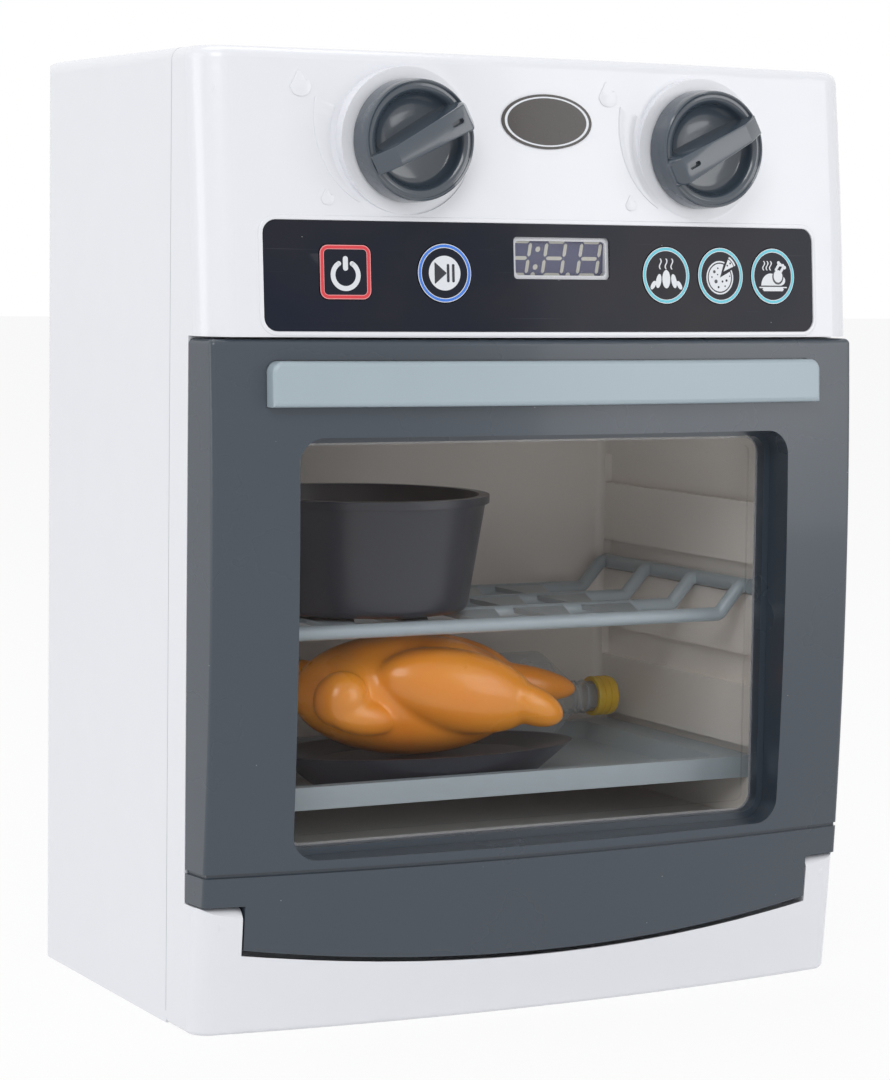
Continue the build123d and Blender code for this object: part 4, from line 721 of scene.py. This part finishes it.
def display_segments():
    """Three figures of seven unlit bars, two dots between the first figures, and a point after each."""
    bm = bmesh.new()
    level_bar = (2 * BAR_HALF_REACH - LEVEL_BAR_GAP, BAR_THICK, BAR_MITRE)
    upright_bar = (BAR_THICK, BAR_RISE - UPRIGHT_BAR_GAP, BAR_MITRE)
    for place in (-1, 0, 1):
        x = DIGIT_X + place * DIGIT_PITCH
        for rise in (-BAR_RISE, 0, BAR_RISE):
            flat_plate(bm, x, MODULE_Z + rise, *level_bar, segments=1)
        for side in (-BAR_HALF_REACH, BAR_HALF_REACH):
            for rise in (-BAR_RISE / 2, BAR_RISE / 2):
                flat_plate(bm, x + side, MODULE_Z + rise, *upright_bar, segments=1)
        flat_disc(bm, x + POINT_SHIFT, MODULE_Z - BAR_RISE, POINT_RADIUS)
    for rise in (-COLON_RISE, COLON_RISE):
        flat_disc(bm, DIGIT_X - DIGIT_PITCH / 2, MODULE_Z + rise, COLON_RADIUS)
    for vert in bm.verts:
        vert.co.x += (vert.co.z - MODULE_Z) * tan(radians(DIGIT_LEAN))
    for rise in (-MODULE_HALF_HEIGHT, MODULE_HALF_HEIGHT):
        cut_across(bm, (0, 0, MODULE_Z + rise), (0, 0, rise), clear_outer=True)
    lay_flat("display_segments", bm, "segment_pale")


def display_highlight_line():
    """Painted highlight: pale line round the window that stands for the reflection off its bevel, thicker
    where the bevel catches the light.
    """
    bm = bmesh.new()
    flat_frame(bm, MODULE_X, MODULE_Z, *WINDOW_HIGHLIGHT_LINE)
    flat_plate(bm, MODULE_X + GLINT_SHIFT, MODULE_Z, *GLINT)
    # This pale line is painted highlight, laid on like a print.
    lay_flat("display_painted_highlight", bm, "white_print_and_highlight", layer=2)


def badge_line():
    """Thin oval line on the bare badge."""
    bm = bmesh.new()
    flat_ring(bm, BADGE_X, BADGE_Z, BADGE_LINE_OUTER, BADGE_LINE_INNER, BADGE_WIDE)
    lay_print("badge_line", bm, "casing", "white_print_and_highlight", layer=BADGE_LAYER)


key_rings()
power_mark()
play_mark()
pastry_mark()
pizza_mark()
roast_mark()
display_segments()
display_highlight_line()
badge_line()


# ---------------------------------------------------------------- knobs

KNOB_X, KNOB_Z = 52.2, 272.8
BASE_Y, BEAD_Y, LIP_Y, BOWL_Y = -70.1, -78.5, -77.3, -72.9
KNOB_PROFILE = (
    (0, BASE_Y), (18.5, BASE_Y), (18.85, BASE_Y - 0.4), (18.75, -74.2), (18.45, -77.4), (18.25, -78.1),
    (17.85, BEAD_Y), (17.45, -78.25), (17.3, -77.9), (17.05, -77.75), (16.3, -77.85), (15.5, -77.6),
    (14.9, LIP_Y + 0.2), (14.6, -76.6), (14.3, -75.6), (13.6, -74.5), (12.5, -73.7), (10.8, -73.2),
    (8.0, BOWL_Y), (0, BOWL_Y),
)
SPIN_STEPS = 96
KNOB_SHARP = 24
# The grip lies along X before it is turned, with its pointer end at the right.
GRIP_TURN = 28.0
GRIP_TOP_Y = -83.2
GRIP_FOOT_Y = -72.0
GRIP_LOW, GRIP_HIGH = -17.6, 18.0
GRIP_HALF_WIDTH = 3.1
# How many times wider the pointer end is than the tail, and the foot than the top.
GRIP_SPREAD = 1.38
FOOT_SPREAD = 1.32
CREASE, WAIST, SHOULDER = -11.0, 2.0, 15.4
TAIL_DROP = 3.6
# Slack for picking corners by where they lie.
NEAR = 0.1
END_CORNER, END_STEPS = 2.0, 6
CREST_EDGE, CREST_STEPS, CREST_ANGLE = 0.55, 3, 0.5
SLOT_REACH = 11.3
SLOT_LENGTH, SLOT_WIDTH, SLOT_DEPTH = 4.2, 1.6, 1.4
SLOT_CORNER = 0.45 * SLOT_WIDTH


def knob_body(bm):
    """Round cap with a beaded rim, a sloping lip and a bowl in its face."""
    sweep_round(bm, [(radius, y, 0) for radius, y in KNOB_PROFILE], (0, 0, 0), (0, 1, 0), 2 * pi, SPIN_STEPS)
    weld(bm, COARSE_WELD)


def grip_bar():
    """Bar across the knob: flat on top, wider towards its pointer end, and sloping down at both ends."""
    bm = bmesh.new()
    bmesh.ops.create_cube(bm, size=1)
    size = (GRIP_HIGH - GRIP_LOW, GRIP_FOOT_Y - GRIP_TOP_Y, 2 * GRIP_HALF_WIDTH)
    bmesh.ops.scale(bm, vec=size, verts=bm.verts)
    middle = ((GRIP_LOW + GRIP_HIGH) / 2, (GRIP_FOOT_Y + GRIP_TOP_Y) / 2, 0)
    bmesh.ops.translate(bm, vec=middle, verts=bm.verts)
    for place in (CREASE, WAIST, SHOULDER):
        cut_across(bm, (place, 0, 0), (1, 0, 0))
    for vert in bm.verts:
        if vert.co.y < GRIP_TOP_Y + NEAR and not CREASE - NEAR < vert.co.x < SHOULDER + NEAR:
            vert.co.y += TAIL_DROP
        if vert.co.x > CREASE:
            along = min((vert.co.x - CREASE) / (SHOULDER - CREASE), 1)
            vert.co.z *= 1 + (GRIP_SPREAD - 1) * along
        if vert.co.y > GRIP_TOP_Y + TAIL_DROP + NEAR:
            vert.co.z *= FOOT_SPREAD
    corners = [edge for edge in bm.edges if all(vert.co.x > GRIP_HIGH - NEAR for vert in edge.verts)
               and abs(edge.verts[0].co.y - edge.verts[1].co.y) > 1]
    round_edges(bm, corners, END_CORNER, END_STEPS)
    crest = [edge for edge in bm.edges
             if all(vert.co.y < GRIP_TOP_Y + TAIL_DROP + NEAR for vert in edge.verts)
             and len(edge.link_faces) == 2 and edge.calc_face_angle() > CREST_ANGLE]
    round_edges(bm, crest, CREST_EDGE, CREST_STEPS)
    return bm


def faces_within(bm, verts):
    """The faces that have no other corners than these vertices."""
    return [face for face in bm.faces if all(vert in verts for vert in face.verts)]


def sink_slot(bm):
    """Short slot near the pointer end, sunk into the flat top, which is filled in again round its mouth."""
    bmesh.ops.recalc_face_normals(bm, faces=bm.faces)
    flat = [face for face in bm.faces
            if face.normal.y < -0.99 and abs(face.calc_center_median().y - GRIP_TOP_Y) < NEAR / 2]
    bmesh.ops.delete(bm, geom=flat, context="FACES")
    place = Matrix.Translation((0, GRIP_TOP_Y, 0)) @ flat_place(SLOT_REACH, 0, SLOT_LENGTH, SLOT_WIDTH)
    seed = bmesh.ops.create_grid(bm, x_segments=1, y_segments=1, size=0.5, matrix=place)["verts"]
    mouth = round_corners(bm, seed, SLOT_CORNER, 5)
    push_out(bm, faces_within(bm, mouth), -SLOT_DEPTH)
    bmesh.ops.delete(bm, geom=faces_within(bm, mouth), context="FACES_ONLY")
    bmesh.ops.triangle_fill(bm, use_beauty=True, edges=[edge for edge in bm.edges if edge.is_boundary])


def make_knob(name, x, turn):
    """Cap and grip of one knob, in place of its plain solid."""
    bm = grip_bar()
    sink_slot(bm)
    bmesh.ops.recalc_face_normals(bm, faces=bm.faces)
    bmesh.ops.rotate(bm, cent=(0, 0, 0), matrix=Matrix.Rotation(radians(-turn), 3, "Y"), verts=bm.verts)
    knob_body(bm)
    bmesh.ops.translate(bm, vec=(x, 0, KNOB_Z), verts=bm.verts)
    finish(name + "_cap", bm, name, KNOB_GREY, replaced=(name,), sharp=KNOB_SHARP)


make_knob("left_knob", -KNOB_X, GRIP_TURN)
make_knob("right_knob", KNOB_X, GRIP_TURN + 180)


# ---------------------------------------------------------------- raised marks, panel lip and seam

RELIEF_SUNK = 0.4
RIM_ANGLE = 1.0
MARK_RISE, MARK_EDGE = 0.40, 0.25
# The crescent starts as a plain part of a ring. Its middle radius, half width and turns go from its blunt
# end to its tip.
CRESCENT_RING = (24.0, 28.0)
CRESCENT_STEPS = 32
CRESCENT_MIDDLE = (27.8, 24.2)
CRESCENT_HALF = (3.4, 0.25)
CRESCENT_TAPER = 0.8
CRESCENT_TURNS = (156, 230)
# Each flame: place from the knob's centre, and size.
FLAMES = ((-33.0, 16.4, 1.0), (-25.7, -17.4, 0.62))
FLAME_OUTLINE = ((-0.4, 4.4), (1.1, 1.9), (1.7, 0.5), (2.5, 1.5), (3.4, -1.0), (2.4, -3.2), (0, -4.0),
                 (-2.4, -3.2), (-3.4, -1.1), (-2.1, 1.2))
FLAME_CORNER = 0.75


def raise_relief(name, bm, rise, softness):
    """Lifts flat white shapes off the bowed front, with a soft edge."""
    raised = set(push_out(bm, bm.faces[:], rise + RELIEF_SUNK))
    rim = [edge for edge in bm.edges
           if len(edge.link_faces) == 2 and all(vert in raised for vert in edge.verts)
           and edge.calc_face_angle() > RIM_ANGLE]
    for vert in bm.verts:
        vert.co.y += front_y(vert.co.x, vert.co.z) + RELIEF_SUNK
    round_edges(bm, rim, softness, 2, clamp=True)
    finish(name, bm, "casing", MATERIALS["casing_white"])


def heat_marks(name, x):
    """Raised white marks to the left of a knob: a tapering crescent between a large and a small flame."""
    bm = bmesh.new()
    sweep = radians(CRESCENT_TURNS[1] - CRESCENT_TURNS[0])
    sweep_round(bm, [(radius, 0, 0) for radius in CRESCENT_RING], (0, 0, 0), (0, -1, 0), sweep,
                CRESCENT_STEPS)
    for vert in bm.verts:
        turn = Vector((vert.co.x, vert.co.z)).angle_signed(Vector((1, 0)))
        along = turn / sweep
        middle = CRESCENT_MIDDLE[0] + (CRESCENT_MIDDLE[1] - CRESCENT_MIDDLE[0]) * along
        half = CRESCENT_HALF[0] + (CRESCENT_HALF[1] - CRESCENT_HALF[0]) * along ** CRESCENT_TAPER
        reach = middle + (half if vert.co.xz.length > sum(CRESCENT_RING) / 2 else -half)
        angle = radians(CRESCENT_TURNS[0]) + turn
        vert.co.x, vert.co.z = reach * cos(angle), reach * sin(angle)
    for dx, dz, size in FLAMES:
        verts = [bm.verts.new((dx + size * px, 0, dz + size * pz)) for px, pz in FLAME_OUTLINE]
        bm.faces.new(verts)
        round_corners(bm, verts, FLAME_CORNER * size, 4)
    weld(bm, COARSE_WELD)
    for vert in bm.verts:
        vert.co.x += x
        vert.co.z += KNOB_Z
    raise_relief(name, bm, MARK_RISE, MARK_EDGE)


SURROUND_WIDTH, SURROUND_HEIGHT, SURROUND_Z = 200.0, 36.2, 231.7
SURROUND_CORNER, SURROUND_THICK, SURROUND_RISE, SURROUND_EDGE = 5.6, 1.4, 0.3, 0.3
SLICE_WIDTH, SLICES_EACH_SIDE = 6.0, 16


def panel_surround():
    """Low raised lip round the control panel, in slices that let it follow the bow."""
    bm = bmesh.new()
    flat_frame(bm, 0, SURROUND_Z, SURROUND_WIDTH, SURROUND_HEIGHT, SURROUND_CORNER, SURROUND_THICK)
    for step in range(-SLICES_EACH_SIDE, SLICES_EACH_SIDE + 1):
        cut_across(bm, (step * SLICE_WIDTH, 0, 0), (1, 0, 0))
    raise_relief("panel_surround", bm, SURROUND_RISE, SURROUND_EDGE)


CASING_WIDTH, CASING_HEIGHT = 233.0, 300.0
PARTING_Y = -38.0
PARTING_CORNER = 4.0
SEAM_WIDTH, SEAM_PROUD, SEAM_DEPTH = 0.28, 0.03, 0.12


def casing_seam():
    """Hairline where the bezel meets the rear casing, right round the oven."""
    bm = bmesh.new()
    flat_plate(bm, 0, CASING_HEIGHT / 2 + SEAM_PROUD / 2, CASING_WIDTH + 2 * SEAM_PROUD,
               CASING_HEIGHT + SEAM_PROUD, PARTING_CORNER)
    outline = bm.edges[:]
    bmesh.ops.delete(bm, geom=bm.faces[:], context="FACES_ONLY")
    bmesh.ops.translate(bm, vec=(0, PARTING_Y - SEAM_WIDTH / 2, 0), verts=bm.verts)
    band = bmesh.ops.extrude_edge_only(bm, edges=outline)
    bmesh.ops.translate(bm, verts=[item for item in band["geom"] if isinstance(item, bmesh.types.BMVert)],
                        vec=(0, SEAM_WIDTH, 0))
    bmesh.ops.recalc_face_normals(bm, faces=bm.faces)
    bmesh.ops.solidify(bm, geom=bm.faces[:], thickness=SEAM_DEPTH)
    finish("casing_seam", bm, "casing", PRINTS["seam_grey"])


heat_marks("left_heat_marks", -KNOB_X)
heat_marks("right_heat_marks", KNOB_X)
panel_surround()
casing_seam()


# ---------------------------------------------------------------- painted highlight on the window edge, and play food

PANE_FRONT_Y = -56.4
WINDOW_WIDTH, WINDOW_HEIGHT, WINDOW_Z, WINDOW_CORNER = 175.6, 129.4, 118.3, 8.0
# The painted highlight band on the pane: its width, its thickness, and its gap in front of the pane.
PANE_BAND, PANE_BAND_THICK, PANE_BAND_GAP = 3.4, 0.1, 0.02
PANE_LAP = 0.2


def pane_highlight_band():
    """Painted highlight: paler band of the pane where its bevelled edge catches the light."""
    bm = bmesh.new()
    flat_frame(bm, 0, WINDOW_Z, WINDOW_WIDTH + 2 * PANE_LAP, WINDOW_HEIGHT + 2 * PANE_LAP, WINDOW_CORNER,
               PANE_BAND)
    push_out(bm, bm.faces[:], PANE_BAND_THICK)
    bmesh.ops.translate(bm, verts=bm.verts, vec=(0, PANE_FRONT_Y - PANE_BAND_GAP, 0))
    # Pale clear film that paints the highlight on the pane's edge.
    pale = clear("pane_edge_painted_highlight", srgb(205, 205, 210), 0.12, 0.22)
    finish("pane_painted_highlight_band", bm, "door", pale)


# Each form of the chicken: centre, half lengths, and its turns about Y (falling to the right) and Z.
BIRD_FORMS = (
    ((-22, -15.5, 95.0), (41, 21, 19.8), 3, 0),
    ((-30, -15, 102), (26, 17, 12.5), -4, 0),
    ((-12, -31, 97.5), (30, 11.5, 13.6), 12, 0),
    ((-4, -1.5, 99), (31, 9.5, 13.6), 9, 0),
    ((12, -34.5, 92.5), (14.5, 6.4, 6.6), 22, 0),
    ((22, -5, 95.5), (26, 6.0, 6.4), 9, 0),
    ((-54, -31, 97), (9.6, 7.5, 8.8), -30, 8),
    ((-47, -32, 91), (14, 6.0, 6.0), 10, 10),
    ((-54, 0, 97), (9.6, 7.0, 8.8), -30, -8),
)
BIRD_AROUND, BIRD_ALONG = 48, 24
BIRD_VOXEL = 0.9
BIRD_SMOOTHING = 5
BIRD_LOW_Z = 75.2


def apply_modifiers(piece):
    """Turns a piece's modifiers into its mesh."""
    shape = bpy.data.meshes.new_from_object(piece.evaluated_get(bpy.context.evaluated_depsgraph_get()))
    piece.modifiers.clear()
    piece.data = shape


def play_chicken():
    """Moulded roast chicken: one skin over body, thighs, legs and folded wings, flat underneath."""
    bm = bmesh.new()
    for centre, half, fall, swing in BIRD_FORMS:
        place = (Matrix.Translation(centre) @ Matrix.Rotation(radians(swing), 4, "Z")
                 @ Matrix.Rotation(radians(fall), 4, "Y") @ Matrix.Diagonal((*half, 1)))
        bmesh.ops.create_uvsphere(bm, u_segments=BIRD_AROUND, v_segments=BIRD_ALONG, radius=1, matrix=place)
    bmesh.ops.scale(bm, vec=(MM, MM, MM), verts=bm.verts)
    piece = link_mesh("play_chicken_skin", bm)
    skin = piece.modifiers.new("skin", "REMESH")
    skin.mode = "VOXEL"
    skin.voxel_size = BIRD_VOXEL * MM
    relax = piece.modifiers.new("relax", "SMOOTH")
    relax.iterations = BIRD_SMOOTHING
    apply_modifiers(piece)
    for vert in piece.data.vertices:
        vert.co.z = max(vert.co.z, BIRD_LOW_Z * MM)
    piece.data.shade_smooth()
    piece.data.materials.append(MATERIALS["chicken_brown"])
    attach(piece, "tray")
    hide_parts("play_chicken")


BOTTLE_Y, BOTTLE_Z = 29.5, 83.3
TURNED_STEPS = 64
# Places along the bottle's axis and radii, from the cap's open end to its closed one.
CAP_PROFILE = (
    (73.9, 5.6), (73.9, 6.9), (74.6, 7.1), (75.3, 6.9), (75.5, 6.6), (76.4, 6.6), (76.7, 7.0), (77.7, 7.0),
    (78.0, 6.6), (78.8, 6.6), (79.1, 7.0), (80.6, 7.0), (81.9, 6.6), (82.35, 5.8), (82.35, 0),
)
NECK_RINGS = (64.5, 67.5, 70.5)
NECK_RADIUS, RING_RISE, RING_SUNK, RING_HALF = 5.4, 0.55, 0.1, 0.7


def turned(bm, profile):
    """Round shape about the bottle's axis from places along it and their radii."""
    sweep_round(bm, [(x, BOTTLE_Y, BOTTLE_Z + radius) for x, radius in profile], (0, BOTTLE_Y, BOTTLE_Z),
                (1, 0, 0), 2 * pi, TURNED_STEPS)


def bottle_details():
    """Ringed screw cap, and the thread rings that show on the clear neck."""
    bm = bmesh.new()
    turned(bm, CAP_PROFILE)
    finish("bottle_cap_ringed", bm, "tray", MATERIALS["cap_yellow"],
           replaced=("bottle_cap",))
    bm = bmesh.new()
    foot, crest = NECK_RADIUS - RING_SUNK, NECK_RADIUS + RING_RISE
    for place in NECK_RINGS:
        turned(bm, ((place - RING_HALF, foot), (place - RING_HALF / 2, crest), (place + RING_HALF / 2, crest),
                    (place + RING_HALF, foot), (place - RING_HALF, foot)))
    finish("bottle_neck_rings", bm, "tray", MATERIALS["bottle_clear"])


pane_highlight_band()
play_chicken()
bottle_details()


bpy.context.scene.view_settings.view_transform = "Standard"
